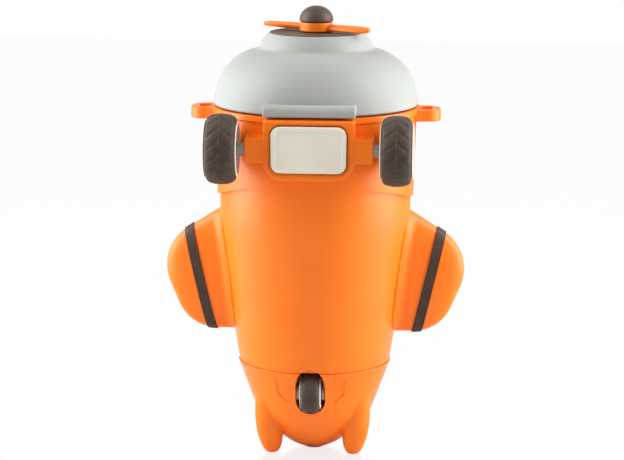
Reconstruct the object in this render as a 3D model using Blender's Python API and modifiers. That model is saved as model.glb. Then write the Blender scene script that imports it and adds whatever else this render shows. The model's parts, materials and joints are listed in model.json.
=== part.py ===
"""A child's drinking bottle in the form of an aeroplane that stands on its tail.

Metres, +Z up. The bottle's axis is the Z axis and the floor is z = 0. The belly, with the
push button and the wheels, faces -Y. The nose is a flip lid with a propeller on top.
"""

import math

import bmesh
import bpy
from mathutils import Matrix, Vector

MM = 0.001

# Clearances and resolution
GAP = 0.35 * MM
MERGE = 0.01 * MM
TURN_STEPS = 32
SMALL_STEPS = 16
EDGE_SEGMENTS = 1
SHARP_ANGLE = math.radians(35)

# Fuselage sleeve
SLEEVE_TOP = 123.0 * MM
SLEEVE_WALL = 1.8 * MM
SLEEVE_MAX_R = 39.75 * MM
SLEEVE_FLARE_Z = 109.0 * MM
SLEEVE_TAPER_HIGH = (38.44 * MM, 90.0 * MM)
SLEEVE_TAPER_LOW = (34.59 * MM, 60.0 * MM)
SLEEVE_FOOT = (31.55 * MM, 38.8 * MM)
SLEEVE_ANKLE = (33.05 * MM, 46.8 * MM)
SLEEVE_BLENDS = (6.0 * MM, 9.0 * MM, 10.0 * MM)
SPIGOT_R = 29.2 * MM
SPIGOT_BOTTOM = 34.4 * MM
LEDGE_R = 22.0 * MM
LEDGE_Z = (41.8 * MM, 43.6 * MM)

# Flask
FLASK_WALL = 1.0 * MM
FLASK_HEEL_WALL = 0.3 * MM
FLASK_FLOOR = 44.0 * MM
FLASK_NECK_R = 31.9 * MM
FLASK_NECK_TOP = 121.0 * MM
FLASK_SHOULDER = (104.0 * MM, 113.0 * MM)
FLASK_SIDE_Z = (104.0 * MM, 90.0 * MM, 60.0 * MM, 48.0 * MM)

# Tail boot
BOOT_TOP = (31.8 * MM, 38.4 * MM)
BOOT_WAIST = (24.4 * MM, 17.9 * MM)
BOOT_CUP_LENGTH = 33.4 * MM
BOOT_CUP_STEPS = 5
BOOT_PAD_R = 4.5 * MM
BOOT_SIDE = ((30.2 * MM, 33.2 * MM), (27.3 * MM, 25.4 * MM))
BOOT_WALL = 2.6 * MM
BOOT_HOLLOW_R = 20.5 * MM
BOOT_FLOOR = 17.0 * MM
LEG_ANGLES = (-147.0, -33.0, 90.0)
LEG_SECTIONS = ((0.0, 20.3, 2.0), (0.9, 20.4, 3.1), (3.2, 20.6, 4.3), (8.0, 21.2, 5.5),
                (15.0, 21.5, 6.3), (23.0, 21.3, 6.5), (31.5, 21.0, 6.3))
LEG_SQUASH = 0.92
LEG_SIDES = 10
SIDE_POCKET = ((9.8, 26.0), (14.8, 29.7), (14.6, 36.3), (9.8, 32.8))
SIDE_POCKET_SEAT = -25.0 * MM
SIDE_POCKET_REACH = 12.0 * MM
SIDE_POCKET_DEPTH = 0.4 * MM

# Tail wheel
TAIL_WHEEL = Vector((0.0, -24.5, 29.5)) * MM
TAIL_TYRE_R = 8.85 * MM
TAIL_TYRE_WIDTH = 7.2 * MM
TAIL_TYRE_BORE_R = 6.3 * MM
TAIL_HUB_R = 5.95 * MM
TAIL_HUB_LIP_R = 6.9 * MM
TAIL_SLOT_HALF = 6.1 * MM
TAIL_SLOT_Z = (19.2 * MM, 40.3 * MM)
TAIL_SLOT_BACK = -14.5 * MM
TAIL_SLOT_DEPTH = 40.0 * MM
ROUND_END = 0.999
SLEEVE_SLOT_BACK = -29.0 * MM
TAIL_AXLE_R = 1.5 * MM
TAIL_CHEEK_R = 3.1 * MM
WELL_HALF = 8.3 * MM
WELL_BACK = -12.5 * MM
WELL_FRONT = -40.0 * MM

# Wings
WING_OUTLINE = ((32.0, 107.8), (65.8, 86.1), (52.4, 51.0), (30.0, 51.0))
WING_CORNERS = (0.0, 14.5, 14.5, 0.0)
WING_THICKNESS = 15.0 * MM
WING_TIP_TAPER = 0.30
WING_TIP_ROUND = 5
WING_SQUARE = 0.77
WING_RINGS = 12
WING_SIDES = 20
WING_ROOT_X = 40.0 * MM
WING_SPLIT = (Vector((43.0, 0.0, 100.0)) * MM, Vector((37.5, 0.0, 52.0)) * MM)
FAIRING_DEPTH = 10.0 * MM
TONGUE = (2.6 * MM, 6.0 * MM, 22.0 * MM)
BAND_LINE = (Vector((53.0, 0.0, 94.1)) * MM, Vector((43.2, 0.0, 51.7)) * MM)
BAND_WIDTH = 4.0 * MM
BAND_PROUD = 0.5 * MM
BAND_SUNK = 0.65 * MM
GROOVE_REACH = 1.5 * MM

# Collar
RIM_Z = 146.5 * MM
RIM_R = 43.0 * MM
RIM_DEPTH = 2.3 * MM
RIM_EDGE = 0.6 * MM
COLLAR_TOP_R = 41.9 * MM
COLLAR_FOOT = (40.95 * MM, 109.4 * MM)
COLLAR_BORE_R = 40.1 * MM
COLLAR_CUP_R = 39.95 * MM
COLLAR_CORE_R = 40.6 * MM
COLLAR_CORE_Z = (90.0 * MM, 160.0 * MM)
DECK_Z = (123.6 * MM, 126.4 * MM)
NECK_SKIRT_R = (32.3 * MM, 34.0 * MM)
NECK_SKIRT_Z = 116.2 * MM
DECK_HOLE_R = 24.0 * MM
SKIRT_ARCH_Z = 115.8 * MM
SKIRT_ARCH_HALF = 24.0 * MM
ARCH_STEPS = 5
ARCH_CURVE = 1.5
BLOCK_HALF = 18.3 * MM
BLOCK_Z = (121.8 * MM, 146.3 * MM)
BLOCK_CHAMFER = 5.0 * MM
BLOCK_FACE_Y = -47.4 * MM
BLOCK_BACK_Y = -34.0 * MM
BLOCK_EDGE = 1.2 * MM
LUG_ROOT_X = 38.0 * MM
LUG_WAIST_X = 45.0 * MM
LUG_TIP_X = 51.9 * MM
LUG_HALF_Y = 8.0 * MM
LUG_FLARE = 2.0 * MM
LUG_CORNER = 5.9 * MM
LUG_Z = (141.0 * MM, 145.8 * MM)
LUG_HOLE_X = (43.2 * MM, 48.5 * MM)
LUG_HOLE_HALF_Y = 5.0 * MM
LUG_HOLE_CORNER = 2.4 * MM
LUG_HOLE_DEPTH = 20.0 * MM
LUG_EDGE = 0.6 * MM

# Button
BUTTON_CENTRE = Vector((0.0, -46.7, 134.5)) * MM
BUTTON_SIZE = (30.2 * MM, 18.7 * MM)
BUTTON_CORNER = 3.7 * MM
BUTTON_THICKNESS = 3.0 * MM
BUTTON_EDGE = 0.5 * MM
BUTTON_BORDER = (1.7 * MM, 0.35 * MM)
POCKET_FLOOR_Y = -42.4 * MM
POCKET_GAP = 0.38 * MM
POCKET_REACH = 20.0 * MM
NUB = (7.0 * MM, 2.5 * MM, 3.4 * MM)
NUB_Z = 141.4 * MM
WINDOW_BACK_Y = -38.0 * MM
SPRING_DROP = Vector((0.0, 0.0, -2.5)) * MM
SPRING_R = 3.0 * MM
SPRING_WIRE_R = 0.27 * MM
SPRING_TURNS = 3
SPRING_STEPS = 10
SPRING_LENGTH = 3.7 * MM
SPRING_POCKET_R = 4.0 * MM
SPRING_POCKET_DEPTH = 1.6 * MM

# Main wheels
WHEEL_CENTRE = Vector((35.1, -43.2, 134.0)) * MM
TYRE_R = 14.4 * MM
TYRE_WIDTH = 11.8 * MM
TREADS = 16
TREAD_COLUMNS = 3
TREAD_DEPTH = 0.4 * MM
TREAD_LAND = 0.9
TREAD_RIDGE = 0.05
TREAD_SHEAR = math.radians(20)
TYRE_BORE_R = 10.6 * MM
HUB_R = 10.25 * MM
HUB_LIP_R = 11.4 * MM
LIP_WIDTH = 1.6 * MM
LIP_PROUD = 0.8 * MM
LIP_FALL = 0.2 * MM
HUB_DISH = 0.68
HUB_SLOPE = 1.3 * MM
HUB_BOSS_WALL = 1.5 * MM
HUB_DRAFT = 0.3 * MM
TYRE_BEAD = 0.6 * MM
TYRE_ROWS = 6
TYRE_SQUARE = (0.75, 0.7)
AXLE_R = 2.0 * MM
AXLE_SHOULDER_R = 2.75 * MM
AXLE_SOCKET_X = 20.0 * MM
CAP_R = 3.6 * MM
CAP_SINK = 0.1 * MM
CAP_WALL = 0.6 * MM
CAP_EDGE = 0.4 * MM
BOSS_X = (17.0 * MM, 25.7 * MM)
BOSS_Y = (-47.0 * MM, -29.0 * MM)
BOSS_HEIGHT = 10.0 * MM
BOSS_EDGE = 0.7 * MM

# Lid
LID_FOOT_Z = 147.1 * MM
LID_R = 42.4 * MM
LID_WALL = 2.1 * MM
LID_CORE_R = 41.2 * MM
LID_CORE_Z = (140.0 * MM, 156.0 * MM)
LID_CREASE = (23.8 * MM, 170.1 * MM)
LID_TOP_Z = 175.9 * MM
LID_TOP_R = 18.6 * MM
LID_TIER = ((20.8 * MM, 175.9 * MM), (23.1 * MM, 173.4 * MM))
LID_SHOULDER = (24.4 * MM, 170.0 * MM)
LID_DOME = ((35.25 * MM, 167.5 * MM), (41.3 * MM, 160.7 * MM))
LID_INNER_DOME = ((39.5 * MM, 159.4 * MM), (34.3 * MM, 165.6 * MM), (24.0 * MM, 167.9 * MM))
LID_INNER_TIER = ((22.0 * MM, 167.9 * MM), (21.3 * MM, 171.5 * MM))
TAB_HALF = 18.6 * MM
TAB_Y = (-46.2 * MM, -33.0 * MM)
TAB_Z = (147.2 * MM, 151.8 * MM)
TAB_EDGE = 0.9 * MM
TAB_CORNERS = (0.8 * MM, 0.8 * MM, 2.0 * MM, 2.0 * MM)
CATCH_HALF = 6.0 * MM
CATCH_Y = (-41.4 * MM, -38.9 * MM, -37.6 * MM)
CATCH_Z = (151.5 * MM, 147.6 * MM, 140.2 * MM)
HINGE = Vector((0.0, 47.5, 147.0)) * MM
KNUCKLE_R = 3.4 * MM
KNUCKLE_SPARE = 0.05 * MM
BRACKET_ROOT = (39.0 * MM, 42.5 * MM, 136.0 * MM)
PIN_R = 1.5 * MM
LID_KNUCKLE_HALF = 6.6 * MM
COLLAR_KNUCKLE_X = (7.0 * MM, 13.0 * MM)
LINER_Z = (159.6 * MM, 161.2 * MM)
LINER_R = 35.0 * MM
LINER_EDGE = 0.6 * MM
SEAL_R = 13.0 * MM
SEAL_SKIRT = 1.5 * MM

# Spout
SPOUT_TOP = 157.0 * MM
SPOUT_FLANGE_R = 28.0 * MM
SPOUT_BORE_R = 8.3 * MM
SPOUT_FLANGE = 2.0 * MM
SPOUT_NECK_R = (11.6 * MM, 10.3 * MM)
SPOUT_FLARE = ((12.4 * MM, 140.0 * MM), (13.0 * MM, 130.0 * MM))
SPOUT_FOOT_R = 19.0 * MM
SPIGOT_WALL = 1.8 * MM
GASKET_R = (31.9 * MM, 27.5 * MM)

# Nose
DISC_R = 19.2 * MM
DISC_Z = (176.2 * MM, 176.9 * MM)
PROP_HUB_R = 6.8 * MM
PROP_Z = (177.25 * MM, 181.0 * MM)
BLADE_Z = 178.85 * MM
BLADE_ROOT_R = 4.5 * MM
BLADE_TIP_R = 26.0 * MM
BLADE_RINGS = 7
BLADE_SIDES = 8
BLADE_WAIST = 0.62
BLADE_BLUNT = 0.012
BLADE_THINNING = 0.35
BLADE_WIDTH = 5.0 * MM
BLADE_THICKNESS = 2.8 * MM
BLADE_PITCH = (math.radians(22), math.radians(20))
PROP_TURN = math.radians(-30)
PROP_EDGE = 0.5 * MM
SHAFT_R = 1.4 * MM
SHAFT_SPARE = 2.0 * MM
CLIP_R = 3.4 * MM
CLIP_HEIGHT = 1.2 * MM
CLIP_GROOVE = 0.5 * MM
SPINNER_R = 6.95 * MM
SPINNER_TOP = 187.7 * MM
SPINNER_DOME = ((3.9 * MM, 187.7 * MM), (6.95 * MM, 185.2 * MM))
SPINNER_SOCKET = 3.2 * MM

# Colours: base colour, roughness, metallic
ORANGE = ((0.93, 0.22, 0.02), 0.45, 0.0)
GREY = ((0.55, 0.57, 0.54), 0.55, 0.0)
CREAM = ((0.78, 0.71, 0.60), 0.40, 0.0)
BROWN = ((0.075, 0.055, 0.042), 0.60, 0.0)
PALE = ((0.72, 0.68, 0.63), 0.45, 0.0)
AXLE_GREY = ((0.22, 0.22, 0.20), 0.50, 0.0)
SILICONE = ((0.70, 0.70, 0.68), 0.60, 0.0)
WHITE = ((0.80, 0.80, 0.78), 0.45, 0.0)
STEEL = ((0.62, 0.62, 0.62), 0.30, 1.0)


def clear_scene():
    for obj in list(bpy.data.objects):
        bpy.data.objects.remove(obj, do_unlink=True)


def new_collection(name):
    collection = bpy.data.collections.new(name)
    bpy.context.scene.collection.children.link(collection)
    return collection


clear_scene()
PARTS = new_collection("aeroplane_bottle")
TOOLS = new_collection("cutters")


def finish(obj, look):
    """Give a part its own material."""
    colour, roughness, metallic = look
    material = bpy.data.materials.new(obj.name)
    material.use_nodes = True
    shader = material.node_tree.nodes["Principled BSDF"]
    shader.inputs["Base Color"].default_value = (*colour, 1.0)
    shader.inputs["Roughness"].default_value = roughness
    shader.inputs["Metallic"].default_value = metallic
    obj.data.materials.clear()
    obj.data.materials.append(material)
    return obj


def as_tool(obj):
    """Turn an object into a cutter or a lump to be joined to a part."""
    for collection in list(obj.users_collection):
        collection.objects.unlink(obj)
    TOOLS.objects.link(obj)
    obj.hide_render = True
    obj.display_type = 'WIRE'
    return obj


def from_bmesh(name, bm):
    """Make a smooth-shaded object of a bmesh."""
    bmesh.ops.recalc_face_normals(bm, faces=bm.faces)
    mesh = bpy.data.meshes.new(name)
    bm.to_mesh(mesh)
    bm.free()
    mesh.shade_smooth()
    mesh.set_sharp_from_angle(angle=SHARP_ANGLE)
    obj = bpy.data.objects.new(name, mesh)
    PARTS.objects.link(obj)
    return obj


def baked(obj, weld=MERGE):
    """The object's evaluated mesh as a welded bmesh in world space; the object is removed."""
    graph = bpy.context.evaluated_depsgraph_get()
    mesh = bpy.data.meshes.new_from_object(obj.evaluated_get(graph))
    bm = bmesh.new()
    bm.from_mesh(mesh)
    bm.transform(obj.matrix_world)
    bmesh.ops.remove_doubles(bm, verts=bm.verts, dist=weld)
    bpy.data.meshes.remove(mesh)
    bpy.data.objects.remove(obj, do_unlink=True)
    return bm


def boolean(obj, operation, *tools):
    for tool in tools:
        modifier = obj.modifiers.new(operation.lower(), 'BOOLEAN')
        modifier.operation = operation
        modifier.solver = 'EXACT'
        modifier.object = as_tool(tool)
    return obj


def bevelled(obj, width, segments=EDGE_SEGMENTS):
    modifier = obj.modifiers.new("edges", 'BEVEL')
    modifier.width = width
    modifier.segments = segments
    modifier.limit_method = 'ANGLE'
    modifier.angle_limit = math.radians(40)
    return obj


def bezier(p0, p1, p2, p3, count):
    """Points along a cubic curve, both ends included."""
    points = []
    for i in range(count + 1):
        t = i / count
        s = 1.0 - t
        weights = (s ** 3, 3 * s * s * t, 3 * s * t * t, t ** 3)
        points.append(tuple(sum(w * p[k] for w, p in zip(weights, (p0, p1, p2, p3))) for k in (0, 1)))
    return points


def rounded(corners, radii, steps=4):
    """An outline whose corners are replaced by arcs of the given radii."""
    outline = []
    count = len(corners)
    for i, corner in enumerate(corners):
        here = Vector(corner)
        radius = radii[i]
        if radius <= 0.0:
            outline.append(tuple(here))
            continue
        back = (Vector(corners[i - 1]) - here).normalized()
        ahead = (Vector(corners[(i + 1) % count]) - here).normalized()
        half = back.angle(ahead) / 2
        centre = here + (back + ahead).normalized() * (radius / math.sin(half))
        start = here + back * (radius / math.tan(half)) - centre
        end = here + ahead * (radius / math.tan(half)) - centre
        sweep = start.angle_signed(end)
        for k in range(steps + 1):
            outline.append(tuple(centre + Matrix.Rotation(-sweep * k / steps, 2) @ start))
    return outline


def rectangle(width, height, middle=0.0):
    """The corners of a rectangle centred at a height."""
    signs = ((-1, -1), (1, -1), (1, 1), (-1, 1))
    return [(sx * width / 2, middle + sz * height / 2) for sx, sz in signs]


def turned(name, profile, steps=TURN_STEPS, closed=True):
    """Turn (radius, height) points, outer side running down, about the Z axis."""
    mesh = bpy.data.meshes.new(name)
    edges = [(i, i + 1) for i in range(len(profile) - 1)]
    if closed:
        edges.append((len(profile) - 1, 0))
    mesh.from_pydata([(r, 0.0, z) for r, z in profile], edges, [])
    obj = bpy.data.objects.new(name, mesh)
    PARTS.objects.link(obj)
    screw = obj.modifiers.new("turn", 'SCREW')
    screw.steps = steps
    screw.render_steps = steps
    screw.use_merge_vertices = True
    screw.merge_threshold = MERGE
    return from_bmesh(name, baked(obj))


def plate(name, outline, thickness, frame):
    """A flat outline in the frame's XY plane, centred on it through its thickness."""
    curve = bpy.data.curves.new(name, 'CURVE')
    curve.dimensions = '2D'
    curve.fill_mode = 'BOTH'
    curve.extrude = thickness / 2
    spline = curve.splines.new('POLY')
    spline.points.add(len(outline) - 1)
    for point, (u, v) in zip(spline.points, outline):
        point.co = (u, v, 0.0, 1.0)
    spline.use_cyclic_u = True
    obj = bpy.data.objects.new(name, curve)
    PARTS.objects.link(obj)
    bm = baked(obj)
    bmesh.ops.dissolve_limit(bm, angle_limit=math.radians(1), verts=bm.verts, edges=bm.edges)
    bm.transform(frame)
    return from_bmesh(name, bm)


def box(name, low, high):
    """A box between two corners."""
    bm = bmesh.new()
    size = Vector(high) - Vector(low)
    middle = (Vector(high) + Vector(low)) / 2
    bmesh.ops.create_cube(bm, size=1.0, matrix=Matrix.Translation(middle) @ Matrix.Diagonal((*size, 1.0)))
    return from_bmesh(name, bm)


def rod(name, radius, start, end, steps=SMALL_STEPS):
    """A round bar between two points."""
    start, end = Vector(start), Vector(end)
    turn = (end - start).to_track_quat('Z', 'Y').to_matrix().to_4x4()
    bm = bmesh.new()
    bmesh.ops.create_cone(bm, cap_ends=True, segments=steps, radius1=radius, radius2=radius,
                          depth=(end - start).length, matrix=Matrix.Translation((start + end) / 2) @ turn)
    return from_bmesh(name, bm)


def loft(name, rings):
    """A closed skin through rings of equal point counts, capped at both ends."""
    bm = bmesh.new()
    loops = [[bm.verts.new(point) for point in ring] for ring in rings]
    for lower, upper in zip(loops, loops[1:]):
        for i in range(len(lower)):
            bm.faces.new((lower[i - 1], lower[i], upper[i], upper[i - 1]))
    bm.faces.new(loops[0])
    bm.faces.new(loops[-1])
    return from_bmesh(name, bm)


def sliced(bm, point, normal):
    """Keep the side of a plane that its normal points to, and close the cut."""
    geometry = bm.verts[:] + bm.edges[:] + bm.faces[:]
    bmesh.ops.bisect_plane(bm, geom=geometry, plane_co=point, plane_no=normal, clear_inner=True)
    rim = [edge for edge in bm.edges if edge.is_boundary]
    bmesh.ops.holes_fill(bm, edges=rim)
    return bm


def joint_frame(name, location):
    """An empty on a joint's axis, to carry the pieces that move with it."""
    empty = bpy.data.objects.new(name, None)
    empty.location = location
    PARTS.objects.link(empty)
    return empty


def carried(obj, empty):
    """Parent a piece that is built in place to a joint's empty."""
    obj.parent = empty
    obj.matrix_parent_inverse = Matrix.Translation(-empty.location)
    return obj


def mounted(obj, empty, turn=Matrix.Identity(4)):
    """Parent a piece that is built round its own origin to a joint's empty."""
    obj.parent = empty
    obj.matrix_basis = turn
    return obj


XZ_PLANE = Matrix.Rotation(math.pi / 2, 4, 'X')
YZ_PLANE = Matrix(((0, 0, 1, 0), (1, 0, 0, 0), (0, 1, 0, 0), (0, 0, 0, 1)))
ALONG_X = Matrix.Rotation(math.pi / 2, 4, 'Y')
SIDES = ((1, "right"), (-1, "left"))


def sleeve_outline():
    """Outer side of the fuselage, top to bottom."""
    high, low = SLEEVE_TAPER_HIGH, SLEEVE_TAPER_LOW
    slope = (high[0] - low[0]) / (high[1] - low[1])
    flare, above, below = SLEEVE_BLENDS
    shoulder = (SLEEVE_MAX_R, SLEEVE_FLARE_Z - flare)
    hip = (high[0] + slope * above, high[1] + above)
    knee = (low[0] - slope * below, low[1] - below)
    top = bezier((SLEEVE_MAX_R, SLEEVE_FLARE_Z), shoulder, hip, high, 3)
    return [(SLEEVE_MAX_R, SLEEVE_TOP)] + top + bezier(low, knee, SLEEVE_ANKLE, SLEEVE_FOOT, 3)


def wing_section(outline, x):
    """Lowest and highest point of the wing's outline at a distance from the bottle's axis."""
    heights = []
    for (x0, z0), (x1, z1) in zip(outline, outline[1:] + outline[:1]):
        if min(x0, x1) <= x <= max(x0, x1) and x0 != x1:
            heights.append(z0 + (z1 - z0) * (x - x0) / (x1 - x0))
    return min(heights), max(heights)


def squared(value):
    """A cosine or sine bent towards a fuller, squarer curve."""
    return math.copysign(abs(value) ** WING_SQUARE, value)


def wing_form(grow=0.0):
    """The right wing and its root as one domed pad, grown along its normals."""
    corners = [(x * MM, z * MM) for x, z in WING_OUTLINE]
    outline = rounded(corners, [r * MM for r in WING_CORNERS], 8)
    tip = max(x for x, _ in outline)
    root = corners[0][0] + MERGE
    rings = []
    for i in range(WING_RINGS + 1):
        x = root + (tip - root) * math.sin(math.pi / 2 * i / (WING_RINGS + 0.25))
        low, high = wing_section(outline, x)
        reach = max((x - WING_ROOT_X) / (tip - WING_ROOT_X), 0.0)
        half = WING_THICKNESS / 2 * (1.0 - WING_TIP_TAPER * reach)
        half *= math.sqrt(1.0 - reach ** WING_TIP_ROUND)
        ring = []
        for k in range(WING_SIDES):
            turn = 2 * math.pi * k / WING_SIDES
            z = (low + high) / 2 + (high - low) / 2 * squared(math.cos(turn))
            ring.append(Vector((x, half * squared(math.sin(turn)), z)))
        rings.append(ring)
    bm = baked(loft("pad", rings))
    bm.normal_update()
    moves = [(vert, vert.normal * grow) for vert in bm.verts]
    for vert, move in moves:
        vert.co += move
    return bm


def plane_of(line):
    """A point and the outward normal of the plane through a line in the XZ plane."""
    along = (line[0] - line[1]).normalized()
    return (line[0] + line[1]) / 2, Vector((along.z, 0.0, -along.x))


def wing_ring(name, width, outer, inner):
    """A ring round the wing at the band's line, between two growths of the wing's form."""
    point, normal = plane_of(BAND_LINE)
    bm = sliced(wing_form(outer), point - normal * width / 2, normal)
    ring = from_bmesh(name, sliced(bm, point + normal * width / 2, -normal))
    core = from_bmesh(name + "_core", wing_form(inner))
    return boolean(ring, 'DIFFERENCE', core)


def tongue_box(name, clearance):
    """The tongue of a wing, or with clearance its socket, on the split plane."""
    point, normal = plane_of(WING_SPLIT)
    depth, height, length = TONGUE
    size = (2 * (depth + clearance), height + 2 * clearance, length + 2 * clearance)
    turn = normal.to_track_quat('X', 'Z').to_matrix().to_4x4()
    place = Matrix.Translation(point) @ turn @ Matrix.Diagonal((*size, 1.0))
    bm = bmesh.new()
    bmesh.ops.create_cube(bm, size=1.0, matrix=place)
    return from_bmesh(name, bm)


def mirrored(obj, side):
    """Flip a piece built on the right to the left where side is -1."""
    if side < 0:
        bm = bmesh.new()
        bm.from_mesh(obj.data)
        bm.transform(Matrix.Diagonal((-1.0, 1.0, 1.0, 1.0)))
        bmesh.ops.reverse_faces(bm, faces=bm.faces)
        bm.to_mesh(obj.data)
        bm.free()
    return obj


def resolved(obj):
    """The object with its modifiers worked into its mesh."""
    name = obj.name
    return from_bmesh(name, baked(obj, 0.5 * MERGE))


def make_wing(side, label):
    point, normal = plane_of(WING_SPLIT)
    wing = from_bmesh("wing_" + label, sliced(wing_form(), point + normal * GAP / 2, normal))
    boolean(wing, 'UNION', tongue_box("tongue_" + label, 0.0))
    groove = wing_ring("groove_" + label, BAND_WIDTH + 2 * GAP, GROOVE_REACH, -BAND_SUNK - GAP)
    boolean(wing, 'DIFFERENCE', groove)
    finish(mirrored(resolved(wing), side), ORANGE)
    band = wing_ring("wing_band_" + label, BAND_WIDTH, BAND_PROUD, -BAND_SUNK)
    finish(mirrored(resolved(band), side), BROWN)


def wing_fairing(side, label):
    """The stub on the sleeve that a wing plugs into, rooted in the sleeve's wall, with its socket."""
    point, normal = plane_of(WING_SPLIT)
    bm = sliced(wing_form(), point - normal * FAIRING_DEPTH, normal)
    stub = from_bmesh("fairing_" + label, sliced(bm, point - normal * GAP / 2, -normal))
    middle = [(r - SLEEVE_WALL / 2, z) for r, z in sleeve_outline()]
    ends = ((0.0, middle[0][1]), (0.0, middle[-1][1]))
    core = turned("fairing_core_" + label, [ends[0], *middle, ends[1]], closed=False)
    boolean(stub, 'DIFFERENCE', tongue_box("socket_" + label, GAP), core)
    return mirrored(resolved(stub), side)


def tail_slot(name, back):
    """The round-ended slot that the tail wheel sits in, from its back wall outward."""
    low, high = TAIL_SLOT_Z
    half = TAIL_SLOT_HALF
    corners = ((-half, low), (half, low), (half, high), (-half, high))
    outline = rounded(corners, [half * ROUND_END] * 4, 5)
    middle = back - TAIL_SLOT_DEPTH / 2
    return plate(name, outline, TAIL_SLOT_DEPTH, Matrix.Translation((0, middle, 0)) @ XZ_PLANE)


def make_sleeve():
    outer = sleeve_outline()
    ledge_low, ledge_high = LEDGE_Z
    inner = [(r - SLEEVE_WALL, z) for r, z in reversed(outer[:-1]) if z > ledge_high + MM]
    foot_r = SPIGOT_R - SLEEVE_WALL
    shelf_r = sleeve_radius(ledge_high) - SLEEVE_WALL
    spigot = [(SPIGOT_R, SLEEVE_FOOT[1]), (SPIGOT_R, SPIGOT_BOTTOM), (foot_r, SPIGOT_BOTTOM)]
    ledge = [(foot_r, ledge_low), (LEDGE_R, ledge_low), (LEDGE_R, ledge_high), (shelf_r, ledge_high)]
    sleeve = turned("fuselage_sleeve", outer + spigot + ledge + inner)
    boolean(sleeve, 'UNION', wing_fairing(1, "right"), wing_fairing(-1, "left"))
    notch_half = WELL_HALF + 2 * GAP
    notch = box("well_notch", (-notch_half, WELL_FRONT, SPIGOT_BOTTOM - MM),
                (notch_half, WELL_BACK, SLEEVE_FOOT[1] + 2 * MERGE))
    boolean(sleeve, 'DIFFERENCE', notch, tail_slot("sleeve_slot", SLEEVE_SLOT_BACK))
    finish(sleeve, ORANGE)


def sleeve_radius(height):
    """Outer radius of the fuselage at a height."""
    outline = sleeve_outline()
    for (r_high, z_high), (r_low, z_low) in zip(outline, outline[1:]):
        if z_low <= height <= z_high:
            return r_low + (r_high - r_low) * (height - z_low) / (z_high - z_low)
    return outline[0][0]


def make_flask():
    clear = SLEEVE_WALL + 2 * GAP
    low, high = FLASK_SHOULDER
    neck, floor = FLASK_NECK_R, FLASK_FLOOR
    side = [(sleeve_radius(z) - clear, z) for z in FLASK_SIDE_Z]
    belly, heel_r = side[0][0], side[-1][0]
    shoulder = bezier((neck, high), (neck, high - 4 * MM), (belly, low + 7 * MM), (belly, low), 3)
    heel = bezier((heel_r, FLASK_SIDE_Z[-1]), (heel_r - 0.4 * MM, floor + 1.5 * MM),
                  (heel_r - 2 * MM, floor), (heel_r - 5 * MM, floor), 2)
    outer = [(neck, FLASK_NECK_TOP)] + shoulder[:-1] + side + heel[1:] + [(0.0, floor)]
    inner = [(0.0, floor + FLASK_WALL)]
    inner += [(r - FLASK_HEEL_WALL, z + FLASK_WALL) for r, z in reversed(heel[1:])]
    inner += [(r - FLASK_WALL, z) for r, z in reversed(shoulder[:-1] + side)]
    profile = inner + [(neck - FLASK_WALL, FLASK_NECK_TOP)] + outer
    finish(turned("flask", profile, 24, closed=False), STEEL)


def make_leg(angle):
    """A tapering leg fin, round in section."""
    facing = Vector((math.cos(math.radians(angle)), math.sin(math.radians(angle)), 0.0))
    across = Vector((-facing.y, facing.x, 0.0)) * LEG_SQUASH
    turns = [2 * math.pi * i / LEG_SIDES for i in range(LEG_SIDES)]
    rings = []
    for z, middle, radius in LEG_SECTIONS:
        centre = facing * middle + Vector((0.0, 0.0, z))
        spokes = [facing * math.cos(t) + across * math.sin(t) for t in turns]
        rings.append([(centre + spoke * radius) * MM for spoke in spokes])
    return loft("leg", rings)


def side_pocket(side, wall):
    """A shallow sunk panel beside the tail wheel that fades out away from it."""
    lean = math.atan2(BOOT_TOP[0] - BOOT_WAIST[0], BOOT_TOP[1] - BOOT_WAIST[1])
    outline = [(side * x * MM, (z * MM - TAIL_WHEEL.z) / math.cos(lean)) for x, z in SIDE_POCKET]
    tilt = Matrix.Rotation(lean, 4, 'X') @ XZ_PLANE
    seat = Vector((0.0, SIDE_POCKET_SEAT, TAIL_WHEEL.z))
    outward = Vector((0.0, -math.cos(lean), -math.sin(lean)))
    middle = seat + outward * SIDE_POCKET_REACH / 2
    pocket = plate("side_pocket", outline, SIDE_POCKET_REACH, Matrix.Translation(middle) @ tilt)
    floor = [(r - SIDE_POCKET_DEPTH, z) for r, z in wall]
    ends = ((0.0, floor[0][1]), (0.0, floor[-1][1]))
    return boolean(pocket, 'DIFFERENCE', turned("pocket_floor", [ends[0], *floor, ends[1]], closed=False))


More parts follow.
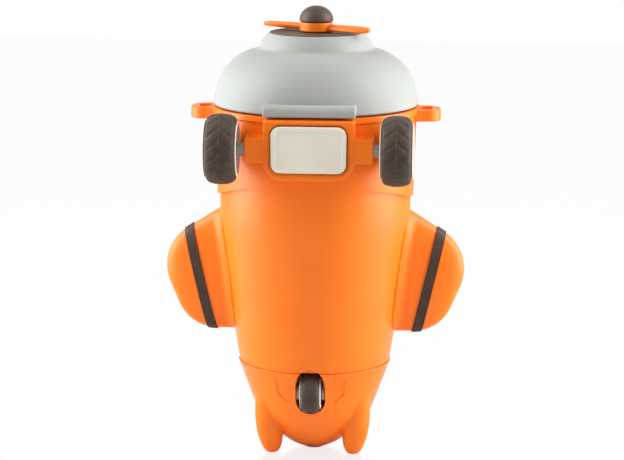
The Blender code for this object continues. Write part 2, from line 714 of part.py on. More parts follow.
def make_boot():
    waist_r = BOOT_WAIST[0]
    top = BOOT_TOP[1]
    wall = bezier(BOOT_TOP, *BOOT_SIDE, BOOT_WAIST, 4)
    radii = [waist_r + (BOOT_PAD_R - waist_r) * i / BOOT_CUP_STEPS for i in range(1, BOOT_CUP_STEPS + 1)]
    cup = [(radius, radius * radius / BOOT_CUP_LENGTH) for radius in radii]
    base = [(BOOT_PAD_R - GAP, 0.0), (0.0, 0.0)]
    boot = turned("tail_boot", [(0.0, top)] + wall + cup + base, closed=False)
    boolean(boot, 'UNION', *[make_leg(angle) for angle in LEG_ANGLES])
    mouth = SPIGOT_R + GAP
    hollow = [(0.0, top + MM), (mouth, top + MM), (mouth, SPIGOT_BOTTOM - GAP)]
    hollow += [(r - BOOT_WALL, z) for r, z in wall if BOOT_FLOOR + MM < z < SPIGOT_BOTTOM - 2 * MM]
    hollow += [(BOOT_HOLLOW_R, BOOT_FLOOR), (0.0, BOOT_FLOOR)]
    cavity = turned("boot_cavity", hollow, closed=False)
    well = box("well_block", (-WELL_HALF, WELL_FRONT, BOOT_FLOOR - MM), (WELL_HALF, WELL_BACK, top - GAP))
    boolean(cavity, 'DIFFERENCE', well)
    slot = tail_slot("boot_slot", TAIL_SLOT_BACK)
    boolean(boot, 'DIFFERENCE', cavity, slot, side_pocket(1, wall), side_pocket(-1, wall))
    reach = Vector((WELL_HALF - GAP, 0.0, 0.0))
    hole = rod("axle_hole", TAIL_AXLE_R + GAP, TAIL_WHEEL - reach, TAIL_WHEEL + reach, 16)
    boolean(boot, 'DIFFERENCE', hole)
    finish(boot, ORANGE)


def tyre_profile(radius, bore, width):
    """A rounded tyre section, outer side running down."""
    half = width / 2
    seat = bore + TYRE_BEAD
    crown = []
    for i in range(TYRE_ROWS + 1):
        angle = math.pi * i / TYRE_ROWS
        across = math.copysign(abs(math.cos(angle)) ** TYRE_SQUARE[0], math.cos(angle))
        crown.append((seat + (radius - seat) * math.sin(angle) ** TYRE_SQUARE[1], half * across))
    return crown + [(bore, TYRE_BEAD - half), (bore, half - TYRE_BEAD)]


def hub_profile(radius, lip, bore, width, outer_boss):
    """A dished wheel hub whose lips stand proud of the tyre, with a boss inside and maybe outside."""
    half = width / 2
    dish = half * HUB_DISH
    seat = half + GAP
    edge = half + LIP_PROUD
    side = [(lip - LIP_WIDTH, edge), (lip, edge - LIP_FALL), (lip, seat), (radius, seat)]
    floor = (lip - LIP_WIDTH - HUB_SLOPE, dish)
    boss_r = bore + HUB_BOSS_WALL
    centre = [(bore, half), (boss_r, half), (boss_r + HUB_DRAFT, dish), floor]
    outside = centre if outer_boss else [(bore, dish), floor]
    inside = [(r, -z) for r, z in reversed(centre)]
    return side + [(r, -z) for r, z in reversed(side)] + inside + outside


def make_tail_wheel():
    axis = joint_frame("tail_wheel_axis", TAIL_WHEEL)
    width = TAIL_TYRE_WIDTH
    tyre = turned("tail_tyre", tyre_profile(TAIL_TYRE_R, TAIL_TYRE_BORE_R, width), 20)
    hub = turned("tail_hub", hub_profile(TAIL_HUB_R, TAIL_HUB_LIP_R, TAIL_AXLE_R + GAP, width, True), 12)
    mounted(finish(tyre, BROWN), axis, ALONG_X)
    mounted(finish(hub, PALE), axis, ALONG_X)
    tip = WELL_HALF - 2 * GAP
    shoulder = width / 2 + LIP_PROUD + GAP
    cheek = TAIL_SLOT_HALF - GAP
    profile = [(0.0, tip), (TAIL_AXLE_R, tip), (TAIL_AXLE_R, cheek), (TAIL_CHEEK_R, cheek),
               (TAIL_CHEEK_R, shoulder), (TAIL_AXLE_R, shoulder)]
    profile += [(r, -z) for r, z in reversed(profile)]
    axle = finish(turned("tail_axle", profile, 12, closed=False), AXLE_GREY)
    axle.location = TAIL_WHEEL
    axle.rotation_euler = ALONG_X.to_euler()


def skirt_arch():
    """The lower edge of the collar is level over belly and back and dips at both sides."""
    foot_r, foot_z = COLLAR_FOOT
    outline = []
    for i in range(ARCH_STEPS + 1):
        share = i / ARCH_STEPS
        x = math.sqrt(SKIRT_ARCH_HALF ** 2 + (foot_r ** 2 - SKIRT_ARCH_HALF ** 2) * share)
        outline.append((x, SKIRT_ARCH_Z - (SKIRT_ARCH_Z - foot_z) * share ** ARCH_CURVE))
    beyond = foot_r + RIM_DEPTH
    outline += [(beyond, foot_z), (beyond, foot_z - foot_r)]
    outline += [(-x, z) for x, z in reversed(outline)]
    return plate("skirt_arch", outline, 4 * foot_r, XZ_PLANE)


def button_block():
    low, high = BLOCK_Z
    half = BLOCK_HALF
    cut = BLOCK_CHAMFER
    left = [(-half, high), (-half, low + cut), (cut - half, low)]
    outline = left + [(-x, z) for x, z in reversed(left)]
    middle = (BLOCK_FACE_Y + BLOCK_BACK_Y) / 2
    place = Matrix.Translation((0, middle, 0)) @ XZ_PLANE
    return bevelled(plate("block", outline, BLOCK_BACK_Y - BLOCK_FACE_Y, place), BLOCK_EDGE)


def wheel_boss(side):
    near, far = sorted(side * x for x in BOSS_X)
    low = (near, BOSS_Y[0], WHEEL_CENTRE.z - BOSS_HEIGHT / 2)
    high = (far, BOSS_Y[1], WHEEL_CENTRE.z + BOSS_HEIGHT / 2)
    return bevelled(box("boss", low, high), BOSS_EDGE)


def strap_lug(side):
    half = LUG_HALF_Y
    front = [(LUG_ROOT_X, -half - LUG_FLARE), (LUG_WAIST_X, -half), (LUG_TIP_X, -half)]
    corners = [(side * x, y) for x, y in front + [(x, -y) for x, y in reversed(front)]]
    radii = (0.0, LUG_CORNER, LUG_CORNER)
    outline = rounded(corners, radii + radii[::-1], 4)
    seat = Matrix.Translation((0, 0, sum(LUG_Z) / 2))
    return bevelled(plate("lug", outline, LUG_Z[1] - LUG_Z[0], seat), LUG_EDGE)


def lug_hole(side):
    near, far = LUG_HOLE_X
    half = LUG_HOLE_HALF_Y
    corners = ((side * near, -half), (side * far, -half), (side * far, half), (side * near, half))
    outline = rounded(corners, [LUG_HOLE_CORNER] * 4, 3)
    return plate("lug_hole", outline, LUG_HOLE_DEPTH, Matrix.Translation((0, 0, RIM_Z)))


def hinge_knuckle(side):
    """One of the collar's two knuckles on its bracket."""
    near, far = COLLAR_KNUCKLE_X
    middle = side * (near + far) / 2
    root_y, foot_y, foot_z = BRACKET_ROOT
    y, z = HINGE.y, HINGE.z
    seat = z - 0.9 * MM
    outline = ((root_y, foot_z), (foot_y, foot_z), (y + 2.6 * MM, z - 2.2 * MM), (y, z),
               (y - 2.9 * MM, seat), (root_y, seat))
    bracket = plate("bracket", outline, far - near, Matrix.Translation((middle, 0, 0)) @ YZ_PLANE)
    reach = Vector(((far - near) / 2 + KNUCKLE_SPARE, 0.0, 0.0))
    centre = Vector((middle, y, z))
    return bracket, rod("knuckle", KNUCKLE_R, centre - reach, centre + reach)


def pin_hole(name, radius):
    reach = Vector((COLLAR_KNUCKLE_X[1] + 2 * MM, 0.0, 0.0))
    return rod(name, radius, HINGE - reach, HINGE + reach, 16)


def button_pocket():
    width, height = BUTTON_SIZE
    grown = rectangle(width + 2 * POCKET_GAP, height + 2 * POCKET_GAP, BUTTON_CENTRE.z)
    outline = rounded(grown, [BUTTON_CORNER + POCKET_GAP] * 4, 4)
    place = Matrix.Translation((0, POCKET_FLOOR_Y - POCKET_REACH / 2, 0)) @ XZ_PLANE
    return plate("pocket", outline, POCKET_REACH, place)


def trimmed(lumps, core_r, heights):
    """Lumps cut off at a cylinder inside a wall, so that only the wall's outside carries them."""
    low, high = heights
    for lump in lumps:
        core = rod("wall_core", core_r, (0.0, 0.0, low), (0.0, 0.0, high), TURN_STEPS)
        boolean(lump, 'DIFFERENCE', core)
    return lumps


def collar_profile():
    """The collar's ring: rim flange, skirt, deck and the skirt that screws on the flask's neck."""
    inner, outer = NECK_SKIRT_R
    under, deck = DECK_Z
    edge = RIM_EDGE
    rim = [(RIM_R - edge, RIM_Z), (RIM_R, RIM_Z - edge), (RIM_R, RIM_Z - RIM_DEPTH),
           (COLLAR_TOP_R, RIM_Z - RIM_DEPTH - edge)]
    skirt = [COLLAR_FOOT, (COLLAR_BORE_R, COLLAR_FOOT[1]), (COLLAR_BORE_R, under)]
    neck = [(outer, under), (outer, NECK_SKIRT_Z), (inner, NECK_SKIRT_Z), (inner, under)]
    hole = [(DECK_HOLE_R, under), (DECK_HOLE_R, deck), (COLLAR_CUP_R, deck), (COLLAR_CUP_R, RIM_Z)]
    return rim + skirt + neck + hole


def nub_window():
    """The opening through the collar's wall for the button's nub."""
    width, _, height = NUB
    low = (-width / 2 - MM, POCKET_FLOOR_Y - MM, NUB_Z - height / 2 - 2 * GAP)
    high = (width / 2 + MM, WINDOW_BACK_Y, NUB_Z + height / 2 + GAP)
    return box("nub_window", low, high)


def axle_socket(side):
    start = Vector((side * AXLE_SOCKET_X, WHEEL_CENTRE.y, WHEEL_CENTRE.z))
    end = Vector((side * WHEEL_CENTRE.x, WHEEL_CENTRE.y, WHEEL_CENTRE.z))
    return rod("axle_socket", AXLE_SHOULDER_R + GAP, start, end, 16)


def make_collar():
    collar = turned("collar", collar_profile())
    lumps = [button_block(), *hinge_knuckle(1), *hinge_knuckle(-1)]
    for side, _ in SIDES:
        lumps += [wheel_boss(side), strap_lug(side)]
    boolean(collar, 'UNION', *trimmed(lumps, COLLAR_CORE_R, COLLAR_CORE_Z))
    cuts = [skirt_arch(), button_pocket(), nub_window(), pin_hole("collar_pin_hole", PIN_R + GAP)]
    for side, _ in SIDES:
        cuts += [lug_hole(side), axle_socket(side)]
    boolean(collar, 'DIFFERENCE', *cuts)
    finish(collar, ORANGE)


def spout_profile():
    """The spout: lip, flared neck, flange on the deck, spigot in its hole and the drinking bore."""
    seat = DECK_Z[1] + GAP
    spigot = DECK_HOLE_R - GAP
    foot = DECK_Z[0] - 2 * MM
    bore = SPOUT_BORE_R
    flange = seat + SPOUT_FLANGE
    neck_r, lip_r = SPOUT_NECK_R
    lip = [(lip_r, SPOUT_TOP), (lip_r + 0.9 * MM, SPOUT_TOP - 0.9 * MM)]
    neck = bezier((neck_r, SPOUT_TOP - 6 * MM), *SPOUT_FLARE, (SPOUT_FOOT_R, flange), 3)
    rim = SPOUT_FLANGE_R
    edge = [(rim - 0.8 * MM, flange), (rim, flange - 0.8 * MM), (rim, seat)]
    skirt = [(spigot, seat), (spigot, foot), (spigot - SPIGOT_WALL, foot), (spigot - SPIGOT_WALL, seat)]
    inside = [(bore + 3 * MM, seat + MM), (bore, seat + 4 * MM), (bore, SPOUT_TOP)]
    return lip + neck + edge + skirt + inside


def make_head_fittings():
    outer, inner = GASKET_R
    high, low = DECK_Z[0] - GAP, FLASK_NECK_TOP + GAP
    gasket = [(outer, high), (outer, low), (inner, low), (inner, high)]
    finish(turned("neck_gasket", gasket, 24), SILICONE)
    finish(turned("drinking_spout", spout_profile(), SMALL_STEPS), WHITE)
    reach = Vector((COLLAR_KNUCKLE_X[1] - GAP, 0.0, 0.0))
    finish(rod("hinge_pin", PIN_R, HINGE - reach, HINGE + reach, 12), STEEL)


def button_panel():
    """The cutter that sinks the button's face inside its raised border."""
    width, height = BUTTON_SIZE
    border, depth = BUTTON_BORDER
    face = rounded(rectangle(width - 2 * border, height - 2 * border), [BUTTON_CORNER - border / 2] * 4, 5)
    middle = -BUTTON_THICKNESS / 2 - POCKET_REACH / 2 + depth
    return plate("panel", face, POCKET_REACH, Matrix.Translation((0, middle, 0)) @ XZ_PLANE)


def make_button():
    slide = joint_frame("button_slide", BUTTON_CENTRE)
    outline = rounded(rectangle(*BUTTON_SIZE), [BUTTON_CORNER] * 4, 5)
    button = bevelled(plate("release_button", outline, BUTTON_THICKNESS, XZ_PLANE), BUTTON_EDGE)
    back = BUTTON_THICKNESS / 2
    nub_z = NUB_Z - BUTTON_CENTRE.z
    width, depth, height = NUB
    nub_low = (-width / 2, back - MM, nub_z - height / 2)
    nub = box("nub", nub_low, (width / 2, back + depth, nub_z + height / 2))
    well_floor = SPRING_DROP + Vector((0.0, back - SPRING_POCKET_DEPTH, 0.0))
    well = rod("spring_well", SPRING_POCKET_R, well_floor, well_floor + Vector((0.0, POCKET_REACH, 0.0)))
    panel = button_panel()
    boolean(button, 'UNION', nub)
    boolean(button, 'DIFFERENCE', panel, well)
    for tool in (panel, nub, well):
        tool.location = BUTTON_CENTRE
    mounted(finish(button, CREAM), slide)
    make_spring(BUTTON_CENTRE + well_floor)


def make_spring(start):
    """A coil spring behind the button, one unbroken wire; its least gap to itself is printed."""
    steps = SPRING_STEPS
    rise = SPRING_LENGTH - 2 * SPRING_WIRE_R
    count = SPRING_TURNS * steps
    points = []
    for i in range(count + 1):
        angle = 2 * math.pi * i / steps
        along = GAP + SPRING_WIRE_R + rise * i / count
        points.append(Vector((SPRING_R * math.cos(angle), along, SPRING_R * math.sin(angle))) + start)
    spans = [(a - b).length for i, a in enumerate(points) for b in points[i + steps // 2:]]
    print("button spring least gap to itself, mm:", round((min(spans) - 2 * SPRING_WIRE_R) / MM, 2))
    curve = bpy.data.curves.new("button_spring", 'CURVE')
    curve.dimensions = '3D'
    curve.bevel_depth = SPRING_WIRE_R
    curve.bevel_resolution = 1
    curve.use_fill_caps = True
    spline = curve.splines.new('POLY')
    spline.points.add(count)
    for point, place in zip(spline.points, points):
        point.co = (*place, 1.0)
    wire = bpy.data.objects.new("button_spring", curve)
    PARTS.objects.link(wire)
    finish(from_bmesh("button_spring", baked(wire)), STEEL)


def treaded(tyre):
    """Cut chevron grooves by shearing the tyre's rows and lowering part of each tread."""
    columns = TREADS * TREAD_COLUMNS
    bm = bmesh.new()
    bm.from_mesh(tyre.data)
    land = TREAD_LAND * TYRE_R
    for vert in bm.verts:
        radius = math.hypot(vert.co.x, vert.co.y)
        if radius < TYRE_BORE_R + TYRE_BEAD + MERGE:
            continue
        angle = math.atan2(vert.co.y, vert.co.x)
        column = round(angle / (2 * math.pi) * columns) % TREAD_COLUMNS
        away = abs(vert.co.z) / (TYRE_WIDTH / 2)
        groove = TREAD_DEPTH if column == 0 and away > TREAD_RIDGE and radius > land else 0.0
        angle += TREAD_SHEAR * away
        radius -= groove
        vert.co.x = radius * math.cos(angle)
        vert.co.y = radius * math.sin(angle)
    bm.to_mesh(tyre.data)
    bm.free()
    return tyre


def make_main_wheel(side, label):
    centre = Vector((side * WHEEL_CENTRE.x, WHEEL_CENTRE.y, WHEEL_CENTRE.z))
    axis = joint_frame("wheel_axis_" + label, centre)
    profile = tyre_profile(TYRE_R, TYRE_BORE_R, TYRE_WIDTH)
    tyre = treaded(turned("wheel_tyre_" + label, profile, TREADS * TREAD_COLUMNS))
    section = hub_profile(HUB_R, HUB_LIP_R, AXLE_R + GAP, TYRE_WIDTH, False)
    hub = turned("wheel_hub_" + label, section, 18)
    mounted(finish(tyre, BROWN), axis, ALONG_X)
    mounted(finish(hub, PALE), axis, Matrix.Rotation(side * math.pi / 2, 4, 'Y'))
    make_wheel_axle(side, label, centre)


def make_wheel_axle(side, label, centre):
    """The stub axle in its boss, and the cap sunk in the hub's dish; local Z runs outward."""
    half = TYRE_WIDTH / 2
    face = half - CAP_SINK
    tip = face - CAP_WALL - GAP
    shoulder = -half - GAP
    root = AXLE_SOCKET_X + GAP - WHEEL_CENTRE.x
    profile = [(0.0, tip), (AXLE_R, tip), (AXLE_R, shoulder), (AXLE_SHOULDER_R, shoulder),
               (AXLE_SHOULDER_R, root), (0.0, root)]
    axle = finish(turned("wheel_axle_" + label, profile, SMALL_STEPS, closed=False), AXLE_GREY)
    rim = half * HUB_DISH + GAP
    bore = AXLE_R + GAP
    cap_profile = [(0.0, face), (CAP_R - CAP_EDGE, face), (CAP_R, face - CAP_EDGE), (CAP_R, rim),
                   (bore, rim), (bore, tip + GAP), (0.0, tip + GAP)]
    cap = finish(turned("axle_cap_" + label, cap_profile, SMALL_STEPS, closed=False), AXLE_GREY)
    for piece in (axle, cap):
        piece.location = centre
        piece.rotation_euler = (0.0, side * math.pi / 2, 0.0)


def lid_outline():
    """Outer side of the two-tier dome, from its flat top down to its rim."""
    tier = bezier((LID_TOP_R, LID_TOP_Z), *LID_TIER, LID_CREASE, 4)
    return tier + bezier(LID_SHOULDER, *LID_DOME, (LID_R, LID_FOOT_Z), 7)


def lid_inside():
    """Inner side of the dome, from its rim up to the shaft hole in its roof."""
    roof = LID_TOP_Z - LID_WALL
    dome = bezier((LID_R - LID_WALL, LID_FOOT_Z), *LID_INNER_DOME, 5)
    tier = bezier(*LID_INNER_TIER, (LID_TOP_R, roof), (LID_TOP_R - MM, roof), 2)
    return dome + tier + [(SHAFT_R + GAP, roof), (SHAFT_R + GAP, LID_TOP_Z)]


def lid_tab():
    half = TAB_HALF
    (low, high), (front, back) = TAB_Z, TAB_Y
    corners = ((-half, low), (half, low), (half, high), (-half, high))
    outline = rounded(corners, TAB_CORNERS, 3)
    place = Matrix.Translation((0, (front + back) / 2, 0)) @ XZ_PLANE
    return bevelled(plate("tab", outline, back - front, place), TAB_EDGE)


def lid_catch():
    """The springy catch behind the button, hanging inside the collar's rim."""
    front, step, back = CATCH_Y
    top, ledge, foot = CATCH_Z
    outline = ((front, top), (front, ledge), (step, ledge), (step, foot), (back, foot), (back, top))
    return plate("catch", outline, 2 * CATCH_HALF, YZ_PLANE)


def lid_arm():
    """The lid's own hinge knuckle and the arm that carries it."""
    y, z = HINGE.y, HINGE.z
    root = BRACKET_ROOT[0]
    under = z + 0.6 * MM
    outline = ((root, under), (y - 2.6 * MM, under), (y, z), (y + 1.8 * MM, z + 2.8 * MM),
               (y - 3 * MM, z + 5.6 * MM), (root, z + 6.4 * MM))
    arm = plate("arm", outline, 2 * LID_KNUCKLE_HALF, YZ_PLANE)
    reach = Vector((LID_KNUCKLE_HALF + KNUCKLE_SPARE, 0.0, 0.0))
    return arm, rod("lid_knuckle", KNUCKLE_R, HINGE - reach, HINGE + reach)


def make_lid():
    hinge = joint_frame("lid_hinge", HINGE)
    shell = turned("lid_shell", lid_outline() + lid_inside())
    boolean(shell, 'UNION', *trimmed([lid_tab(), *lid_arm()], LID_CORE_R, LID_CORE_Z), lid_catch())
    boolean(shell, 'DIFFERENCE', pin_hole("lid_pin_hole", PIN_R + GAP))
    carried(finish(shell, GREY), hinge)
    low, high = LINER_Z
    edge = LINER_EDGE
    near, far = SEAL_R + GAP, SEAL_R + GAP + SEAL_SKIRT
    skirt = low - SEAL_SKIRT
    liner = [(0.0, high), (LINER_R - edge, high), (LINER_R, high - edge), (LINER_R, low), (far, low),
             (far, skirt), (near, skirt), (near, low), (0.0, low)]
    carried(finish(turned("lid_liner", liner, 24, closed=False), WHITE), hinge)
    top, foot = low - GAP, SPOUT_TOP + GAP
    pad = [(0.0, top), (SEAL_R, top), (SEAL_R, foot + edge), (SEAL_R - edge, foot), (0.0, foot)]
    carried(finish(turned("lid_seal", pad, 20, closed=False), SILICONE), hinge)
    hole = SHAFT_R + GAP
    under, face = DISC_Z
    disc = [(DISC_R - GAP, face), (DISC_R, face - GAP), (DISC_R, under), (hole, under), (hole, face)]
    carried(finish(turned("nose_disc", disc), BROWN), hinge)


def propeller_blade(turn):
    """One twisted blade, thin and leaf-shaped, from inside the hub to its rounded tip."""
    rings = []
    for i in range(BLADE_RINGS):
        share = i / (BLADE_RINGS - 1)
        radius = BLADE_ROOT_R + (BLADE_TIP_R - BLADE_ROOT_R) * math.sin(share * math.pi / 2)
        leaf = BLADE_WAIST + (1.0 - BLADE_WAIST) * math.sin(share * math.pi)
        width = BLADE_WIDTH * leaf * math.sqrt(max(1 - share ** 4, BLADE_BLUNT))
        thick = BLADE_THICKNESS * (1.0 - BLADE_THINNING * share)
        pitch = Matrix.Rotation(BLADE_PITCH[0] + (BLADE_PITCH[1] - BLADE_PITCH[0]) * share, 3, 'X')
        middle = Vector((radius, 0.0, BLADE_Z))
        ring = []
        for k in range(BLADE_SIDES):
            angle = 2 * math.pi * k / BLADE_SIDES
            section = Vector((0.0, width / 2 * math.cos(angle), thick / 2 * math.sin(angle)))
            ring.append(Matrix.Rotation(turn, 3, 'Z') @ (middle + pitch @ section))
        rings.append(ring)
    return loft("blade", rings)


def make_propeller():
    axis = joint_frame("propeller_axis", Vector((0.0, 0.0, PROP_Z[0])))
    low, high = PROP_Z
    hole = SHAFT_R + GAP
    edge = PROP_EDGE
    hub = [(PROP_HUB_R - edge, high), (PROP_HUB_R, high - edge), (PROP_HUB_R, low + edge),
           (PROP_HUB_R - edge, low), (hole, low), (hole, high)]
    propeller = turned("propeller", hub, 20)
    boolean(propeller, 'UNION', propeller_blade(PROP_TURN), propeller_blade(PROP_TURN + math.pi))
    bore = rod("prop_bore", hole, (0, 0, low - MM), (0, 0, high + MM), 20)
    boolean(propeller, 'DIFFERENCE', bore)
    carried(finish(propeller, ORANGE), axis)
    foot = high + GAP
    socket = foot + SPINNER_SOCKET
    dome = bezier((0.0, SPINNER_TOP), *SPINNER_DOME, (SPINNER_R, foot + MM), 5)
    spinner = dome + [(SPINNER_R - edge, foot), (hole, foot), (hole, socket), (0.0, socket)]
    carried(finish(turned("spinner", spinner, 20, closed=False), BROWN), axis)
    make_shaft(axis, socket - GAP)


def make_shaft(axis, top):
    """The propeller's shaft through the lid's roof, and the clip in its groove."""
    roof = LID_TOP_Z - LID_WALL
    high = roof - GAP
    low = high - CLIP_HEIGHT
    waist = SHAFT_R - CLIP_GROOVE
    groove_top = high + GAP / 2
    groove_low = low - GAP
    end = low - SHAFT_SPARE
    shaft = [(0.0, top), (SHAFT_R, top), (SHAFT_R, groove_top), (waist, groove_top),
             (waist, groove_low), (SHAFT_R, groove_low), (SHAFT_R, end), (0.0, end)]
    carried(finish(turned("propeller_shaft", shaft, 10, closed=False), STEEL), axis)
    bore = waist + GAP
    clip = [(CLIP_R, high), (CLIP_R, low), (bore, low), (bore, high)]
    carried(finish(turned("shaft_clip", clip, SMALL_STEPS), STEEL), axis)


make_sleeve()
make_flask()
make_boot()
make_tail_wheel()
make_collar()
make_head_fittings()
make_button()
make_lid()
make_propeller()
for side, label in SIDES:
    make_wing(side, label)
    make_main_wheel(side, label)
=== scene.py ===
"""The looks of the aeroplane drinking bottle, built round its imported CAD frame.

Metres, +Z up, in the frame's own coordinates: the bottle's axis is Z, the floor is z = 0 and the
belly faces -Y. Each piece is modelled finely, rides on the body of the CAD node that it stands
for and hides that node.
"""

import json
import math

import bmesh
import bpy
from mathutils import Matrix, Vector


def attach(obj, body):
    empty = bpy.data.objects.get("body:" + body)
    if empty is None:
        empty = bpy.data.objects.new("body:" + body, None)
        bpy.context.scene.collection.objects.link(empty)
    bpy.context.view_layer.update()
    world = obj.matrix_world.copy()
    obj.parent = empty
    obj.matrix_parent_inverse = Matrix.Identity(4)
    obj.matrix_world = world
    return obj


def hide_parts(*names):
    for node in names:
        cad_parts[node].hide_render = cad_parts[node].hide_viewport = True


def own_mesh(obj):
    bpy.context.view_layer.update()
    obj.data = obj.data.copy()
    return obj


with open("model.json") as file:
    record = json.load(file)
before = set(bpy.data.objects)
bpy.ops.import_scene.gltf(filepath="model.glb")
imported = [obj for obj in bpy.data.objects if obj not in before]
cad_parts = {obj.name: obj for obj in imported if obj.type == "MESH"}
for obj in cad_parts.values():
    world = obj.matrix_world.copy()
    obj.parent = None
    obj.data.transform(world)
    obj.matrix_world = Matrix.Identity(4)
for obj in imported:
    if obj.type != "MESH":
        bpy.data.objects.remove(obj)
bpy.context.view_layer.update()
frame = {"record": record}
BODY_OF = {node: body for body, nodes in frame["record"]["behaviour"]["bodies"].items() for node in nodes}

MM = 0.001


def mm(*sizes):
    """Sizes in millimetres as a tuple in metres."""
    return tuple(size * MM for size in sizes)


# Clearances and resolution
GAP = 0.35 * MM
FINE_GAP = 0.12 * MM
WING_GAP = 0.03 * MM
MERGE = 0.002 * MM
NUDGE = 10 * MERGE
TURN_STEPS = 128
MID_STEPS = 96
SMALL_STEPS = 48
CURVE_STEPS = 16
EDGE_SEGMENTS = 3
SHARP_ANGLE = math.radians(32)
BEVEL_ANGLE = math.radians(40)
FLAT_ANGLE = math.radians(0.5)
SMALL_EDGE = 0.3 * MM
THIN_EDGE = 0.2 * MM
FINE_EDGE = 0.15 * MM

# Fuselage sleeve
SLEEVE_TOP = 123.0 * MM
SLEEVE_WALL = 1.8 * MM
SLEEVE_EDGE = 0.3 * MM
SCOOP = mm(9.0, 40.0, 1.0)
SLEEVE_MAX_R = 39.75 * MM
SLEEVE_FLARE_Z = 109.0 * MM
SLEEVE_TAPER_HIGH = mm(38.44, 90.0)
SLEEVE_TAPER_LOW = mm(34.59, 60.0)
SLEEVE_FOOT = mm(31.55, 38.8)
SLEEVE_ANKLE = mm(33.05, 46.8)
SLEEVE_BLENDS = mm(6.0, 9.0, 10.0)
SPIGOT_R = 29.2 * MM
SPIGOT_BOTTOM = 34.4 * MM
LEDGE_R = 22.0 * MM
LEDGE_Z = mm(41.8, 43.6)

# Flask
FLASK_WALL = 1.0 * MM
FLASK_HEEL_WALL = 0.3 * MM
FLASK_FLOOR = 44.0 * MM
FLASK_NECK_R = 31.9 * MM
FLASK_NECK_TOP = 121.0 * MM
FLASK_SHOULDER = mm(104.0, 113.0)
FLASK_SIDE_Z = mm(104.0, 90.0, 60.0, 48.0)
FLASK_BLEND = mm(4.0, 7.0)
FLASK_HEEL = mm(0.4, 1.5, 2.0, 5.0)
FLASK_EDGE = 0.3 * MM

# Tail boot
BOOT_TOP = mm(31.8, 38.4)
BOOT_WAIST = mm(24.4, 17.9)
BOOT_CUP_LENGTH = 33.4 * MM
BOOT_CUP_STEPS = 24
BOOT_PAD_R = 4.5 * MM
BOOT_SIDE = (mm(30.2, 33.2), mm(27.3, 25.4))
BOOT_WALL = 2.6 * MM
BOOT_HOLLOW_R = 20.5 * MM
BOOT_FLOOR = 17.0 * MM
BOOT_VOXEL = 0.42 * MM
BOOT_SMOOTHING = 7
BOOT_SOFTNESS = 0.5
BOOT_LIP = 0.3 * MM
BOOT_RISE = 0.3 * MM
BOOT_BEAD = mm(0.35, 1.3)
LEG_ANGLES = (-147.0, -33.0, 90.0)
LEG_SECTIONS = ((0.0, 20.3, 2.0), (0.9, 20.4, 3.1), (3.2, 20.6, 4.3), (8.0, 21.2, 5.5),
                (15.0, 21.5, 6.3), (23.0, 21.3, 6.5), (31.5, 21.0, 6.3))
LEG_SQUASH = 0.92
LEG_SIDES = 28
SIDE_POCKET = ((9.8, 26.0), (14.8, 29.7), (14.6, 36.3), (9.8, 32.8))
SIDE_POCKET_SEAT = -25.0 * MM
SIDE_POCKET_REACH = 12.0 * MM
SIDE_POCKET_DEPTH = 0.4 * MM

# Tail wheel
TAIL_WHEEL = Vector((0.0, -24.5, 29.5)) * MM
TAIL_TYRE_R = 8.85 * MM
TAIL_TYRE_WIDTH = 7.2 * MM
TAIL_TYRE_BORE_R = 6.3 * MM
TAIL_HUB_R = 5.95 * MM
TAIL_HUB_LIP_R = 6.9 * MM
TAIL_HUB_STEPS = 64
TAIL_SLOT_HALF = 6.1 * MM
TAIL_SLOT_Z = mm(20.35, 40.3)
TAIL_SLOT_BACK = -14.5 * MM
TAIL_SLOT_DEPTH = 40.0 * MM
ROUND_END = 0.999
SLEEVE_SLOT_BACK = -29.0 * MM
TAIL_AXLE_R = 1.5 * MM
TAIL_CHEEK_R = 3.1 * MM
WELL_HALF = 8.3 * MM
WELL_BACK = -12.5 * MM
WELL_FRONT = -40.0 * MM

# Wings
WING_OUTLINE = ((32.0, 107.8), (67.5, 85.0), (52.8, 51.0), (30.0, 51.0))
WING_CORNERS = (0.0, 19.0, 17.0, 0.0)
WING_THICKNESS = 15.0 * MM
WING_TIP_TAPER = 0.30
WING_TIP_ROUND = 5
WING_SQUARE = 0.77
WING_RINGS = 48
WING_TIP_CUT = 0.25
WING_SIDES = 56
WING_ROOT_X = 40.0 * MM
WING_SPLIT = (Vector((43.0, 0.0, 100.0)) * MM, Vector((37.5, 0.0, 52.0)) * MM)
FAIRING_DEPTH = 10.0 * MM
WING_EDGE = 0.3 * MM
FAIRING_EDGE = 0.5 * MM
FAIRING_FILLET = 4.2 * MM
FAIRING_STEP = 0.3 * MM
TONGUE = mm(2.6, 6.0, 22.0)
BAND_LINE = (Vector((53.0, 0.0, 94.1)) * MM, Vector((43.2, 0.0, 51.7)) * MM)
BAND_WIDTH = 4.0 * MM
BAND_PROUD = 0.5 * MM
BAND_SUNK = 0.65 * MM
GROOVE_REACH = 1.5 * MM

# Collar
RIM_Z = 146.5 * MM
RIM_R = 43.0 * MM
RIM_DEPTH = 2.3 * MM
RIM_EDGE = 0.6 * MM
COLLAR_TOP_R = 41.9 * MM
COLLAR_FOOT = mm(40.95, 109.4)
COLLAR_BORE_R = 40.1 * MM
COLLAR_CUP_R = 39.95 * MM
COLLAR_CORE_R = 40.6 * MM
COLLAR_CORE_Z = mm(90.0, 160.0)
DECK_Z = mm(123.6, 126.4)
NECK_SKIRT_R = mm(32.3, 34.0)
NECK_SKIRT_Z = 116.2 * MM
DECK_HOLE_R = 24.0 * MM
SKIRT_ARCH_Z = 115.8 * MM
SKIRT_ARCH_HALF = 24.0 * MM
ARCH_STEPS = 24
ARCH_CURVE = 1.5
BLOCK_HALF = 18.3 * MM
BLOCK_Z = mm(121.8, 146.3)
BLOCK_CHAMFER = 5.0 * MM
BLOCK_FACE_Y = -47.4 * MM
BLOCK_BACK_Y = -34.0 * MM
BLOCK_EDGE = 1.2 * MM
BLOCK_CORNER = 7.0 * MM
